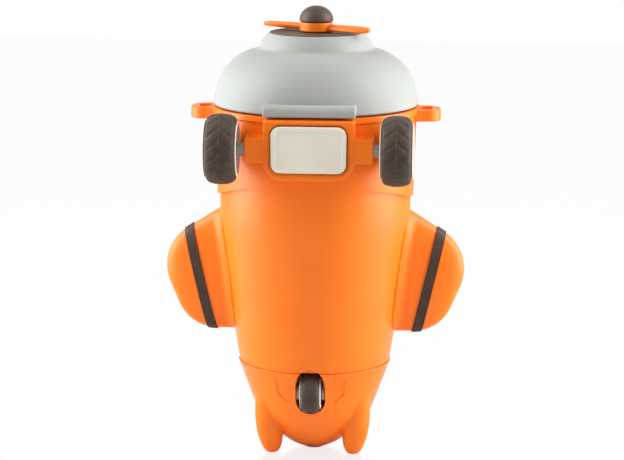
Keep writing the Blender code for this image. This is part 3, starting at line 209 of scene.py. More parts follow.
LUG_ROOT_X = 38.0 * MM
LUG_WAIST_X = 45.0 * MM
LUG_TIP_X = 51.9 * MM
LUG_HALF_Y = 8.0 * MM
LUG_FLARE = 2.0 * MM
LUG_CORNER = 5.9 * MM
LUG_Z = mm(141.0, 145.8)
LUG_HOLE_X = mm(43.2, 48.5)
LUG_HOLE_HALF_Y = 5.0 * MM
LUG_HOLE_CORNER = 2.4 * MM
LUG_HOLE_DEPTH = 20.0 * MM
LUG_EDGE = 0.6 * MM

# Button
BUTTON_CENTRE = Vector((0.0, -46.7, 134.5)) * MM
BUTTON_SIZE = mm(30.2, 18.7)
BUTTON_CORNER = 3.7 * MM
BUTTON_THICKNESS = 3.0 * MM
BUTTON_EDGE = 0.5 * MM
BUTTON_BORDER = mm(1.7, 0.35)
PANEL_SLOPE = mm(0.5, 0.6)
PANEL_SHARE = 0.4
POCKET_FLOOR_Y = -42.4 * MM
POCKET_GAP = 0.38 * MM
POCKET_REACH = 20.0 * MM
POCKET_LIP = 0.8 * MM
NUB = mm(7.0, 2.5, 3.4)
NUB_Z = 141.4 * MM
WINDOW_BACK_Y = -38.0 * MM
SPRING_DROP = Vector((0.0, 0.0, -2.5)) * MM
SPRING_R = 3.0 * MM
SPRING_WIRE_R = 0.27 * MM
SPRING_TURNS = 3
SPRING_STEPS = 32
SPRING_LENGTH = 3.7 * MM
SPRING_POCKET_R = 4.0 * MM
SPRING_POCKET_DEPTH = 1.6 * MM

# Main wheels
WHEEL_CENTRE = Vector((35.1, -43.2, 134.0)) * MM
TYRE_R = 14.4 * MM
TYRE_WIDTH = 11.8 * MM
SEAM_HEIGHT = 0.22 * MM
SEAM_HALF = 0.16 * MM
TREADS = 16
TREAD_COLUMNS = 12
TREAD_DEPTH = 0.24 * MM
TREAD_GROOVE = 1.7
TREAD_LAND = 0.9
TREAD_RIDGE = 0.05
TREAD_FADE = (0.08, 0.04)
TREAD_SHEAR = math.radians(20)
TYRE_BORE_R = 10.6 * MM
HUB_R = 10.25 * MM
HUB_LIP_R = 11.4 * MM
LIP_WIDTH = 1.6 * MM
LIP_PROUD = 0.8 * MM
LIP_FALL = 0.2 * MM
HUB_DISH = 0.68
HUB_SLOPE = 1.3 * MM
HUB_BOSS_WALL = 1.5 * MM
HUB_DRAFT = 0.3 * MM
TYRE_BEAD = 0.6 * MM
TYRE_ROWS = 36
TYRE_SQUARE = (0.82, 0.76)
AXLE_R = 2.0 * MM
AXLE_SHOULDER_R = 2.75 * MM
AXLE_SOCKET_X = 20.0 * MM
CAP_R = 3.6 * MM
CAP_SINK = 0.1 * MM
CAP_WALL = 0.6 * MM
CAP_EDGE = 0.4 * MM
BOSS_X = mm(17.0, 25.7)
BOSS_Y = mm(-47.0, -29.0)
BOSS_HEIGHT = 10.0 * MM
BOSS_EDGE = 0.7 * MM

# Lid
LID_FOOT_Z = 147.1 * MM
LID_R = 42.4 * MM
LID_WALL = 2.1 * MM
LID_EDGE = 0.5 * MM
LID_STEPS = 192
LID_RECESS = 0.75 * MM
CREASE_TRIM = (3, 4)
LID_CORE_R = 41.2 * MM
LID_CORE_Z = mm(140.0, 156.0)
LID_CREASE = mm(23.8, 170.1)
LID_TOP_Z = 175.9 * MM
LID_TOP_R = 18.6 * MM
LID_TIER = (mm(20.2, 176.4), mm(23.0, 173.2))
LID_SHOULDER = mm(24.4, 170.0)
LID_DOME = (mm(35.25, 167.5), mm(41.3, 160.7))
LID_INNER_DOME = (mm(39.5, 159.4), mm(34.3, 165.6), mm(24.0, 167.9))
LID_INNER_TIER = (mm(22.0, 167.9), mm(21.3, 171.5))
TAB_HALF = 18.6 * MM
TAB_Y = mm(-46.2, -33.0)
TAB_Z = mm(147.2, 151.8)
TAB_EDGE = 0.9 * MM
TAB_BROW = 2.6 * MM
TAB_UNDER = 0.8 * MM
CATCH_HALF = 6.0 * MM
CATCH_Y = mm(-41.4, -38.9, -37.6)
CATCH_Z = mm(151.5, 147.6, 140.2)
HINGE = Vector((0.0, 47.5, 147.0)) * MM
KNUCKLE_R = 3.4 * MM
KNUCKLE_SPARE = 0.05 * MM
BRACKET_ROOT = mm(39.0, 42.5, 136.0)
BRACKET_TOE = mm(2.6, 2.2)
BRACKET_SEAT = mm(2.9, 0.9)
ARM_ROOT = mm(0.6, 6.4)
ARM_SIDE = (mm(-2.6, 0.6), mm(0.0, 0.0), mm(1.8, 2.8), mm(-3.0, 5.6))
ARM_EDGE = 0.5 * MM
PIN_R = 1.5 * MM
PIN_SPARE = 2.0 * MM
LID_KNUCKLE_HALF = 6.6 * MM
COLLAR_KNUCKLE_X = mm(7.0, 13.0)
LINER_Z = mm(159.6, 161.2)
LINER_R = 35.0 * MM
LINER_EDGE = 0.6 * MM
SEAL_R = 13.0 * MM
SEAL_SKIRT = 1.5 * MM

# Spout
SPOUT_TOP = 157.0 * MM
SPOUT_FLANGE_R = 28.0 * MM
SPOUT_BORE_R = 8.3 * MM
SPOUT_FLANGE = 2.0 * MM
SPOUT_NECK_R = mm(11.6, 10.3)
SPOUT_FLARE = (mm(12.4, 140.0), mm(13.0, 130.0))
SPOUT_FOOT_R = 19.0 * MM
SPOUT_LIP = mm(1.0, 0.4, 1.5)
SPOUT_NECK_DROP = 6.0 * MM
SPOUT_EDGE = 0.8 * MM
SPOUT_FUNNEL = mm(3.0, 1.0, 4.0)
SPIGOT_REACH = 2.0 * MM
SPIGOT_WALL = 1.8 * MM
GASKET_R = mm(31.9, 27.5)
GASKET_EDGE = 0.4 * MM

# Nose
DISC_R = 19.2 * MM
DISC_STEPS = 160
DISC_Z = mm(176.2, 176.9)
PROP_HUB_R = 6.8 * MM
PROP_Z = mm(177.25, 181.0)
BLADE_Z = 178.85 * MM
BLADE_ROOT_R = 4.5 * MM
BLADE_TIP_R = 26.0 * MM
BLADE_RINGS = 25
BLADE_SIDES = 24
BLADE_WAIST = 0.62
BLADE_BLUNT = 0.002
BLADE_TIP_THIN = 0.05
BLADE_TIP_POWERS = (4, 12)
BLADE_THINNING = 0.35
BLADE_WIDTH = 5.0 * MM
BLADE_THICKNESS = 2.8 * MM
BLADE_PITCH = (math.radians(22), math.radians(20))
PROP_TURN = math.radians(-30)
PROP_EDGE = 0.5 * MM
SHAFT_R = 1.4 * MM
SHAFT_SPARE = 2.0 * MM
SHAFT_EDGE = 0.1 * MM
CLIP_R = 3.4 * MM
CLIP_HEIGHT = 1.2 * MM
CLIP_GROOVE = 0.5 * MM
SPINNER_R = 6.95 * MM
SPINNER_WAIST = 0.6 * MM
SPINNER_TOP = 187.7 * MM
SPINNER_DOME = (mm(3.9, 187.7), mm(6.95, 185.2))
SPINNER_SOCKET = 3.2 * MM

# Camera, from the photo: viewing angle, tilt, distance, and the point at the middle of the image
IMAGE_WIDTH = 624
MM_PER_PIXEL = 0.42
CAMERA_AZIMUTH = math.radians(3.6)
CAMERA_ELEVATION = math.radians(10.7)
CAMERA_ROLL = math.radians(0.3)
CAMERA_DISTANCE = 1.0
CAMERA_CLIP = 0.01
CAMERA_AIM = Vector((-1.37, 0.0, 93.4)) * MM
SENSOR_WIDTH = 36.0

# Light: share of white that the sky sheds; lamps as name, place, target, size, watts
SKY_LIGHT = 0.52
LAMPS = (("lamp_left", (-0.46, -0.03, 0.17), (0.0, 0.0, 0.09), (0.4, 0.9), 6.8),
         ("lamp_right", (0.46, -0.01, 0.17), (0.0, 0.0, 0.09), (0.4, 0.9), 6.8))

# Floor: half its side and its paint; glow and mirror that the camera sees
FLOOR_HALF = 6.0
FLOOR_COLOUR = (0.64, 0.64, 0.64, 1.0)
FLOOR_GLOW = 0.96
FLOOR_MIRROR = 0.16
FLOOR_ROUGHNESS = 0.12

# White backdrop behind the bottle: distance, half width and height
BACKDROP = (1.6, 2.0, 1.2)
PURE_WHITE = (1.0, 1.0, 1.0, 1.0)

# Materials: the part of a noise's range that is used, and how it lies in space
NOISE_RANGE = (0.3, 0.7)
EVEN = (1.0, 1.0, 1.0)
COAT_ROUGHNESS = 0.12
BRUSH_SHADE = 0.86


def noise(tree, per_metre, detail, stretch):
    """Noise in the piece's own space."""
    place = tree.nodes.new("ShaderNodeTexCoord")
    mapping = tree.nodes.new("ShaderNodeMapping")
    mapping.inputs["Scale"].default_value = stretch
    texture = tree.nodes.new("ShaderNodeTexNoise")
    texture.inputs["Scale"].default_value = per_metre
    texture.inputs["Detail"].default_value = detail
    tree.links.new(place.outputs["Object"], mapping.inputs["Vector"])
    tree.links.new(mapping.outputs["Vector"], texture.inputs["Vector"])
    return texture.outputs["Fac"]


def spread(tree, value, low, high):
    """A noise value stretched over a range."""
    node = tree.nodes.new("ShaderNodeMapRange")
    sockets = ("From Min", "From Max", "To Min", "To Max")
    for socket, end in zip(sockets, (*NOISE_RANGE, low, high)):
        node.inputs[socket].default_value = end
    tree.links.new(value, node.inputs["Value"])
    return node.outputs["Result"]


def tint(tree, value, dark, light):
    """Colours between two, picked by a noise value."""
    node = tree.nodes.new("ShaderNodeValToRGB")
    for element, place, colour in zip(node.color_ramp.elements, NOISE_RANGE, (dark, light)):
        element.position = place
        element.color = (*colour, 1.0)
    tree.links.new(value, node.inputs["Fac"])
    return node.outputs["Color"]


def surface(name, colours, roughness, mottle, gloss, relief, constants, stretch=EVEN):
    """A material of mottled colour, uneven gloss and fine relief, with its constants on the shader.

    Mottle, gloss and each layer of relief start with a noise's scale per metre and its detail. Gloss
    then says how far roughness falls and rises, and a layer of relief how deep it is.
    """
    look = bpy.data.materials.new(name)
    look.use_nodes = True
    tree = look.node_tree
    shader = tree.nodes["Principled BSDF"]
    for socket, value in {"Roughness": roughness, **constants}.items():
        shader.inputs[socket].default_value = value
    colour = tint(tree, noise(tree, *mottle, stretch), *colours)
    tree.links.new(colour, shader.inputs["Base Color"])
    *grain, fall, rise = gloss
    uneven = spread(tree, noise(tree, *grain, stretch), roughness - fall, roughness + rise)
    tree.links.new(uneven, shader.inputs["Roughness"])
    normal = None
    for *grain, depth in relief:
        bump = tree.nodes.new("ShaderNodeBump")
        bump.inputs["Distance"].default_value = depth
        tree.links.new(noise(tree, *grain, stretch), bump.inputs["Height"])
        if normal is not None:
            tree.links.new(normal, bump.inputs["Normal"])
        normal = bump.outputs["Normal"]
    tree.links.new(normal, shader.inputs["Normal"])
    return look


def moulded(name, dark, light, roughness, grain, coat=0.0, specular=0.5):
    """Moulded plastic: cloudy pigment, a slightly uneven gloss, flow waves and a fine eroded grain."""
    constants = {"Specular IOR Level": specular, "Coat Weight": coat, "Coat Roughness": COAT_ROUGHNESS}
    return surface(name, (dark, light), roughness, mottle=(45.0, 4.0), gloss=(160.0, 5.0, 0.05, 0.05),
                   relief=((70.0, 1.0, 0.02 * MM), (3200.0, 2.0, grain)), constants=constants)


def rubbery(name, dark, light, roughness):
    """Rubber: mottled, dusty in places, with a matt grain."""
    constants = {"Specular IOR Level": 0.35, "Sheen Weight": 0.06, "Sheen Roughness": 0.5}
    return surface(name, (dark, light), roughness, mottle=(260.0, 6.0), gloss=(420.0, 4.0, 0.08, 0.10),
                   relief=((900.0, 3.0, 0.02 * MM), (4200.0, 2.0, 0.02 * MM)), constants=constants)


def brushed(name, colour, roughness, stretch):
    """Steel with fine brush lines, long in the direction where stretch is small."""
    lines = (900.0, 4.0)
    dark = tuple(BRUSH_SHADE * c for c in colour)
    return surface(name, (dark, colour), roughness, mottle=lines, gloss=(*lines, 0.08, 0.12),
                   relief=((*lines, 0.008 * MM),), constants={"Metallic": 1.0}, stretch=stretch)


def silicone(name, dark, light):
    """Milky silicone that lets a little light in."""
    constants = {"Subsurface Weight": 0.25, "Subsurface Scale": 1.0,
                 "Subsurface Radius": mm(1.2, 1.1, 1.0)}
    return surface(name, (dark, light), 0.5, mottle=(120.0, 3.0), gloss=(300.0, 3.0, 0.08, 0.08),
                   relief=((2600.0, 2.0, 0.015 * MM),), constants=constants)


ORANGE = moulded("orange_plastic", (0.90, 0.172, 0.002), (0.95, 0.194, 0.004), 0.36, 0.010 * MM,
                 specular=0.35)
GREY = moulded("grey_plastic", (0.35, 0.365, 0.345), (0.38, 0.395, 0.375), 0.55, 0.014 * MM, specular=0.2)
CREAM = moulded("cream_plastic", (0.80, 0.75, 0.62), (0.86, 0.81, 0.68), 0.34, 0.006 * MM, coat=0.2)
PALE = moulded("pale_plastic", (0.70, 0.66, 0.59), (0.77, 0.73, 0.66), 0.42, 0.010 * MM)
AXLE_GREY = moulded("axle_plastic", (0.26, 0.26, 0.225), (0.31, 0.31, 0.27), 0.48, 0.012 * MM)
WHITE = moulded("white_plastic", (0.77, 0.77, 0.75), (0.82, 0.82, 0.80), 0.38, 0.008 * MM)
BROWN = moulded("brown_plastic", (0.056, 0.034, 0.024), (0.074, 0.046, 0.032), 0.52, 0.012 * MM,
                specular=0.35)
BAND_RUBBER = rubbery("brown_rubber", (0.034, 0.018, 0.010), (0.050, 0.027, 0.015), 0.58)
TYRE_RUBBER = rubbery("tyre_rubber", (0.036, 0.023, 0.013), (0.062, 0.040, 0.024), 0.66)
SILICONE = silicone("silicone", (0.66, 0.66, 0.63), (0.74, 0.74, 0.71))
STEEL = brushed("steel", (0.64, 0.64, 0.63), 0.28, (0.05, 0.05, 1.0))
SPRING_STEEL = brushed("spring_steel", (0.60, 0.60, 0.60), 0.24, (1.0, 0.2, 1.0))

WORK = bpy.data.collections.new("fine_pieces")
TOOLS = bpy.data.collections.new("cutters")
for collection in (WORK, TOOLS):
    bpy.context.scene.collection.children.link(collection)


def as_tool(obj):
    """Turn an object into a cutter or a lump to be joined to a piece."""
    for collection in list(obj.users_collection):
        collection.objects.unlink(obj)
    TOOLS.objects.link(obj)
    obj.hide_render = True
    obj.display_type = 'WIRE'
    return obj


def from_bmesh(name, bm):
    """Make a smooth-shaded object of a bmesh."""
    bmesh.ops.recalc_face_normals(bm, faces=bm.faces)
    mesh = bpy.data.meshes.new(name)
    bm.to_mesh(mesh)
    bm.free()
    mesh.shade_smooth()
    mesh.set_sharp_from_angle(angle=SHARP_ANGLE)
    obj = bpy.data.objects.new(name, mesh)
    WORK.objects.link(obj)
    return obj


def baked(obj):
    """The object's evaluated mesh as a welded bmesh; the object and its tools are removed."""
    graph = bpy.context.evaluated_depsgraph_get()
    mesh = bpy.data.meshes.new_from_object(obj.evaluated_get(graph))
    bm = bmesh.new()
    bm.from_mesh(mesh)
    bm.transform(obj.matrix_world)
    bmesh.ops.remove_doubles(bm, verts=bm.verts, dist=MERGE)
    bpy.data.meshes.remove(mesh)
    tools = [modifier.object for modifier in obj.modifiers if modifier.type == 'BOOLEAN']
    for spent in [obj, *tools]:
        bpy.data.objects.remove(spent, do_unlink=True)
    return bm


def resolved(obj):
    """The object with its modifiers worked into its mesh."""
    name = obj.name
    return from_bmesh(name, baked(obj))


def dress(obj, node, look):
    """Finish a piece: work in its modifiers, give it its material and let it stand for its CAD node."""
    fine = resolved(obj)
    fine.name = node + "_fine"
    fine.data.name = fine.name
    smooth = fine.modifiers.new("flat_faces", 'WEIGHTED_NORMAL')
    smooth.keep_sharp = True
    fine.data.materials.append(look)
    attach(fine, BODY_OF[node])
    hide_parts(node)
    return fine


def boolean(obj, operation, *tools):
    for tool in tools:
        modifier = obj.modifiers.new(operation.lower(), 'BOOLEAN')
        modifier.operation = operation
        modifier.solver = 'MANIFOLD'
        modifier.object = as_tool(resolved(tool))
    return obj


def bevelled(obj, width, segments=EDGE_SEGMENTS):
    modifier = obj.modifiers.new("edges", 'BEVEL')
    modifier.width = width
    modifier.segments = segments
    modifier.limit_method = 'ANGLE'
    modifier.angle_limit = BEVEL_ANGLE
    return obj


def bezier(p0, p1, p2, p3, count=CURVE_STEPS):
    """Points along a cubic curve, both ends included."""
    points = []
    for i in range(count + 1):
        t = i / count
        s = 1.0 - t
        weights = (s ** 3, 3 * s * s * t, 3 * s * t * t, t ** 3)
        points.append(tuple(sum(w * p[k] for w, p in zip(weights, (p0, p1, p2, p3))) for k in (0, 1)))
    return points


def through(points, count):
    """A smooth run through points, each a tuple of numbers, with count steps between neighbours."""
    rows = [Vector(point) for point in points]
    rows = [2 * rows[0] - rows[1], *rows, 2 * rows[-1] - rows[-2]]
    run = []
    for a, b, c, d in zip(rows, rows[1:], rows[2:], rows[3:]):
        for i in range(count):
            t = i / count
            bend = 2 * a - 5 * b + 4 * c - d
            twist = 3 * b - a - 3 * c + d
            run.append(0.5 * (2 * b + (c - a) * t + bend * t * t + twist * t ** 3))
    return run + [rows[-2]]


def rounded(corners, radii, steps=10):
    """An outline whose corners are replaced by arcs of the given radii."""
    outline = []
    count = len(corners)
    for i, corner in enumerate(corners):
        here = Vector(corner)
        radius = radii[i]
        if radius <= 0.0:
            outline.append(tuple(here))
            continue
        back = (Vector(corners[i - 1]) - here).normalized()
        ahead = (Vector(corners[(i + 1) % count]) - here).normalized()
        half = back.angle(ahead) / 2
        centre = here + (back + ahead).normalized() * (radius / math.sin(half))
        start = here + back * (radius / math.tan(half)) - centre
        end = here + ahead * (radius / math.tan(half)) - centre
        sweep = start.angle_signed(end)
        for k in range(steps + 1):
            outline.append(tuple(centre + Matrix.Rotation(-sweep * k / steps, 2) @ start))
    return outline


def rectangle(width, height, middle=0.0):
    """The corners of a rectangle centred at a height."""
    signs = ((-1, -1), (1, -1), (1, 1), (-1, 1))
    return [(sx * width / 2, middle + sz * height / 2) for sx, sz in signs]


def flipped(points, axis):
    """The mirror image of a run of points, in reverse, so that it carries the run on."""
    signs = (-1, 1) if axis == 0 else (1, -1)
    return [(signs[0] * u, signs[1] * v) for u, v in reversed(points)]


def ring_section(outer, inner, low, high):
    """The profile of a flat ring, outer side running down."""
    return [(outer, high), (outer, low), (inner, low), (inner, high)]


def turned(name, profile, steps=TURN_STEPS, closed=True):
    """Turn (radius, height) points, outer side running down, about the Z axis."""
    mesh = bpy.data.meshes.new(name)
    edges = [(i, i + 1) for i in range(len(profile) - 1)]
    if closed:
        edges.append((len(profile) - 1, 0))
    mesh.from_pydata([(r, 0.0, z) for r, z in profile], edges, [])
    obj = bpy.data.objects.new(name, mesh)
    WORK.objects.link(obj)
    screw = obj.modifiers.new("turn", 'SCREW')
    screw.steps = steps
    screw.render_steps = steps
    screw.use_merge_vertices = True
    screw.merge_threshold = MERGE
    return resolved(obj)


def plate(name, outline, thickness, place):
    """A flat outline in the XY plane of a place, centred on it through its thickness."""
    curve = bpy.data.curves.new(name, 'CURVE')
    curve.dimensions = '2D'
    curve.fill_mode = 'BOTH'
    curve.extrude = thickness / 2
    spline = curve.splines.new('POLY')
    spline.points.add(len(outline) - 1)
    for point, (u, v) in zip(spline.points, outline):
        point.co = (u, v, 0.0, 1.0)
    spline.use_cyclic_u = True
    obj = bpy.data.objects.new(name, curve)
    WORK.objects.link(obj)
    bm = baked(obj)
    bmesh.ops.dissolve_limit(bm, angle_limit=FLAT_ANGLE, verts=bm.verts, edges=bm.edges)
    bm.transform(place)
    return from_bmesh(name, bm)


def cuboid(name, size, place):
    """A box of a size, centred on a place."""
    bm = bmesh.new()
    bmesh.ops.create_cube(bm, size=1.0, matrix=place @ Matrix.Diagonal((*size, 1.0)))
    return from_bmesh(name, bm)


def box(name, low, high):
    """A box between two corners."""
    low, high = Vector(low), Vector(high)
    return cuboid(name, high - low, Matrix.Translation((high + low) / 2))


def rod(name, radius, start, end, steps=SMALL_STEPS):
    """A round bar between two points."""
    start, end = Vector(start), Vector(end)
    turn = (end - start).to_track_quat('Z', 'Y').to_matrix().to_4x4()
    bm = bmesh.new()
    bmesh.ops.create_cone(bm, cap_ends=True, segments=steps, radius1=radius, radius2=radius,
                          depth=(end - start).length, matrix=Matrix.Translation((start + end) / 2) @ turn)
    return from_bmesh(name, bm)


def cross_bar(name, radius, centre, half):
    """A round bar along X, centred on a point."""
    reach = Vector((half, 0.0, 0.0))
    return rod(name, radius, centre - reach, centre + reach)


def loft(name, rings):
    """A closed skin through rings of equal point counts, capped at both ends."""
    bm = bmesh.new()
    loops = [[bm.verts.new(point) for point in ring] for ring in rings]
    for lower, upper in zip(loops, loops[1:]):
        for i in range(len(lower)):
            bm.faces.new((lower[i - 1], lower[i], upper[i], upper[i - 1]))
    bm.faces.new(loops[0])
    bm.faces.new(loops[-1])
    return from_bmesh(name, bm)


def sliced(bm, point, normal):
    """Keep the side of a plane that its normal points to, and close the cut."""
    geometry = bm.verts[:] + bm.edges[:] + bm.faces[:]
    bmesh.ops.bisect_plane(bm, geom=geometry, plane_co=point, plane_no=normal, clear_inner=True)
    rim = [edge for edge in bm.edges if edge.is_boundary]
    bmesh.ops.holes_fill(bm, edges=rim)
    return bm


def placed(obj, place):
    """Move a piece that is built round its own origin."""
    obj.data.transform(place)
    return obj


def mirrored(obj, side):
    """Flip a piece built on the right to the left where side is -1."""
    if side < 0:
        bm = bmesh.new()
        bm.from_mesh(obj.data)
        bm.transform(Matrix.Diagonal((-1.0, 1.0, 1.0, 1.0)))
        bmesh.ops.reverse_faces(bm, faces=bm.faces)
        bm.to_mesh(obj.data)
        bm.free()
    return obj


XZ_PLANE = Matrix.Rotation(math.pi / 2, 4, 'X')
YZ_PLANE = Matrix(((0, 0, 1, 0), (1, 0, 0, 0), (0, 1, 0, 0), (0, 0, 0, 1)))
ALONG_X = Matrix.Rotation(math.pi / 2, 4, 'Y')
SIDES = ((1, "right"), (-1, "left"))


def sleeve_outline():
    """Outer side of the fuselage, top to bottom."""
    high, low = SLEEVE_TAPER_HIGH, SLEEVE_TAPER_LOW
    slope = (high[0] - low[0]) / (high[1] - low[1])
    flare, above, below = SLEEVE_BLENDS
    shoulder = (SLEEVE_MAX_R, SLEEVE_FLARE_Z - flare)
    hip = (high[0] + slope * above, high[1] + above)
    knee = (low[0] - slope * below, low[1] - below)
    top = bezier((SLEEVE_MAX_R, SLEEVE_FLARE_Z), shoulder, hip, high)
    return [(SLEEVE_MAX_R, SLEEVE_TOP)] + top + bezier(low, knee, SLEEVE_ANKLE, SLEEVE_FOOT)


SLEEVE_OUTLINE = sleeve_outline()


def sleeve_radius(height):
    """Outer radius of the fuselage at a height."""
    for (r_high, z_high), (r_low, z_low) in zip(SLEEVE_OUTLINE, SLEEVE_OUTLINE[1:]):
        if z_low <= height <= z_high:
            return r_low + (r_high - r_low) * (height - z_low) / (z_high - z_low)
    return SLEEVE_MAX_R


def wing_section(outline, x):
    """Lowest and highest point of the wing's outline at a distance from the bottle's axis."""
    heights = []
    for (x0, z0), (x1, z1) in zip(outline, outline[1:] + outline[:1]):
        if min(x0, x1) <= x <= max(x0, x1) and x0 != x1:
            heights.append(z0 + (z1 - z0) * (x - x0) / (x1 - x0))
    return min(heights), max(heights)


def squared(value):
    """A cosine or sine bent towards a fuller, squarer curve."""
    return math.copysign(abs(value) ** WING_SQUARE, value)


def wing_form(grow=0.0, stations=None):
    """The right wing and its root as one domed pad, grown along its normals."""
    corners = [(x * MM, z * MM) for x, z in WING_OUTLINE]
    outline = rounded(corners, [r * MM for r in WING_CORNERS], 20)
    tip = max(x for x, _ in outline)
    root = corners[0][0] + NUDGE
    if stations is None:
        turns = [math.pi / 2 * i / (WING_RINGS + WING_TIP_CUT) for i in range(WING_RINGS + 1)]
        stations = [root + (tip - root) * math.sin(turn) for turn in turns]
    rings = []
    for x in stations:
        low, high = wing_section(outline, x)
        reach = max((x - WING_ROOT_X) / (tip - WING_ROOT_X), 0.0)
        half = WING_THICKNESS / 2 * (1.0 - WING_TIP_TAPER * reach)
        half *= math.sqrt(1.0 - reach ** WING_TIP_ROUND)
        ring = []
        for k in range(WING_SIDES):
            turn = 2 * math.pi * k / WING_SIDES
            z = (low + high) / 2 + (high - low) / 2 * squared(math.cos(turn))
            ring.append(Vector((x, half * squared(math.sin(turn)), z)))
        rings.append(ring)
    bm = baked(loft("pad", rings))
    bm.normal_update()
    moves = [(vert, vert.normal * grow) for vert in bm.verts]
    for vert, move in moves:
        vert.co += move
    return bm


def plane_of(line):
    """A point and the outward normal of the plane through a line in the XZ plane."""
    along = (line[0] - line[1]).normalized()
    return (line[0] + line[1]) / 2, Vector((along.z, 0.0, -along.x))


def wing_ring(name, width, outer, inner):
    """A ring round the wing at the band's line, between two growths of the wing's form."""
    point, normal = plane_of(BAND_LINE)
    bm = sliced(wing_form(outer), point - normal * width / 2, normal)
    ring = from_bmesh(name, sliced(bm, point + normal * width / 2, -normal))
    return boolean(ring, 'DIFFERENCE', from_bmesh(name + "_core", wing_form(inner)))


def tongue_box(name, clearance):
    """The tongue of a wing, or with clearance its socket, on the split plane."""
    point, normal = plane_of(WING_SPLIT)
    depth, height, length = TONGUE
    size = (2 * (depth + clearance), height + 2 * clearance, length + 2 * clearance)
    turn = normal.to_track_quat('X', 'Z').to_matrix().to_4x4()
    return cuboid(name, size, Matrix.Translation(point) @ turn)


def make_wing(side, label):
    point, normal = plane_of(WING_SPLIT)
    wing = from_bmesh("wing", sliced(wing_form(), point + normal * WING_GAP / 2, normal))
    bevelled(wing, WING_EDGE, 2)
    boolean(wing, 'UNION', tongue_box("tongue", 0.0))
    groove = wing_ring("groove", BAND_WIDTH + 2 * FINE_GAP, GROOVE_REACH, -BAND_SUNK - GAP)
    boolean(wing, 'DIFFERENCE', groove)
    dress(mirrored(resolved(wing), side), "wing_" + label, ORANGE)
    band = resolved(wing_ring("band", BAND_WIDTH, BAND_PROUD, -BAND_SUNK))
    bevelled(band, WING_EDGE, 2)
    dress(mirrored(resolved(band), side), "wing_band_" + label, BAND_RUBBER)


def flared(bm):
    """Widen a fairing towards belly and back into a fillet that runs out on the fuselage."""
    bm.normal_update()
    radius = FAIRING_FILLET
    for vert in bm.verts:
        gap = max(math.hypot(vert.co.x, vert.co.y) - sleeve_radius(vert.co.z), 0.0)
        if gap < radius:
            lift = radius - math.sqrt(radius ** 2 - (radius - gap) ** 2)
            vert.co.y += lift * vert.normal.y * abs(vert.normal.y)
    return bm


def sleeve_core(inset):
    """The solid inside the fuselage, a given way below its surface."""
    side = [(r - inset, z) for r, z in SLEEVE_OUTLINE]
    return turned("sleeve_core", [(0.0, side[0][1]), *side, (0.0, side[-1][1])], closed=False)


def wing_fairing(side):
    """The stub that a wing plugs into, with its socket; its root flares into the fuselage."""
    point, normal = plane_of(WING_SPLIT)
    start = WING_OUTLINE[0][0] * MM + NUDGE
    count = round((WING_SPLIT[0].x + MM - start) / FAIRING_STEP)
    bm = wing_form(0.0, [start + FAIRING_STEP * i for i in range(count + 1)])
    sliced(bm, point - normal * FAIRING_DEPTH, normal)
    stub = from_bmesh("fairing", sliced(flared(bm), point - normal * WING_GAP / 2, -normal))
    bevelled(stub, FAIRING_EDGE, 2)
    boolean(stub, 'DIFFERENCE', tongue_box("socket", GAP), sleeve_core(SLEEVE_WALL / 2))
    return mirrored(resolved(stub), side)


def tail_slot(back):
    """The round-ended slot that the tail wheel sits in, from its back wall outward."""
    low, high = TAIL_SLOT_Z
    ends = rectangle(2 * TAIL_SLOT_HALF, high - low, (low + high) / 2)
    outline = rounded(ends, [TAIL_SLOT_HALF * ROUND_END] * 4)
    middle = back - TAIL_SLOT_DEPTH / 2
    return plate("slot", outline, TAIL_SLOT_DEPTH, Matrix.Translation((0, middle, 0)) @ XZ_PLANE)


def scooped(sleeve):
    """Sink a soft hollow into the sleeve's outside just above the tail wheel."""
    width, height, depth = SCOOP
    for vert in sleeve.data.vertices:
        x, y, z = vert.co
        off = (x / width) ** 2 + ((z - height) / width) ** 2
        if y < 0.0 and off < 1.0 and math.hypot(x, y) > sleeve_radius(z) - SLEEVE_WALL / 2:
            vert.co.y += depth * (1.0 - off) ** 2
    return sleeve


def make_sleeve():
    outer = SLEEVE_OUTLINE
    ledge_low, ledge_high = LEDGE_Z
    inner = [(r - SLEEVE_WALL, z) for r, z in reversed(outer[:-1]) if z > ledge_high + MM]
    foot_r = SPIGOT_R - SLEEVE_WALL
    shelf_r = sleeve_radius(ledge_high) - SLEEVE_WALL
    spigot = [(SPIGOT_R, SLEEVE_FOOT[1]), (SPIGOT_R, SPIGOT_BOTTOM), (foot_r, SPIGOT_BOTTOM)]
    ledge = [(foot_r, ledge_low), (LEDGE_R, ledge_low), (LEDGE_R, ledge_high), (shelf_r, ledge_high)]
    sleeve = scooped(turned("sleeve", outer + spigot + ledge + inner))
    bevelled(sleeve, SLEEVE_EDGE, 2)
    boolean(sleeve, 'UNION', wing_fairing(1), wing_fairing(-1))
    notch_half = WELL_HALF + 2 * GAP
    notch = box("well_notch", (-notch_half, WELL_FRONT, SPIGOT_BOTTOM - MM),
                (notch_half, WELL_BACK, SLEEVE_FOOT[1] + NUDGE))
    boolean(sleeve, 'DIFFERENCE', notch, tail_slot(SLEEVE_SLOT_BACK))
    dress(sleeve, "fuselage_sleeve", ORANGE)


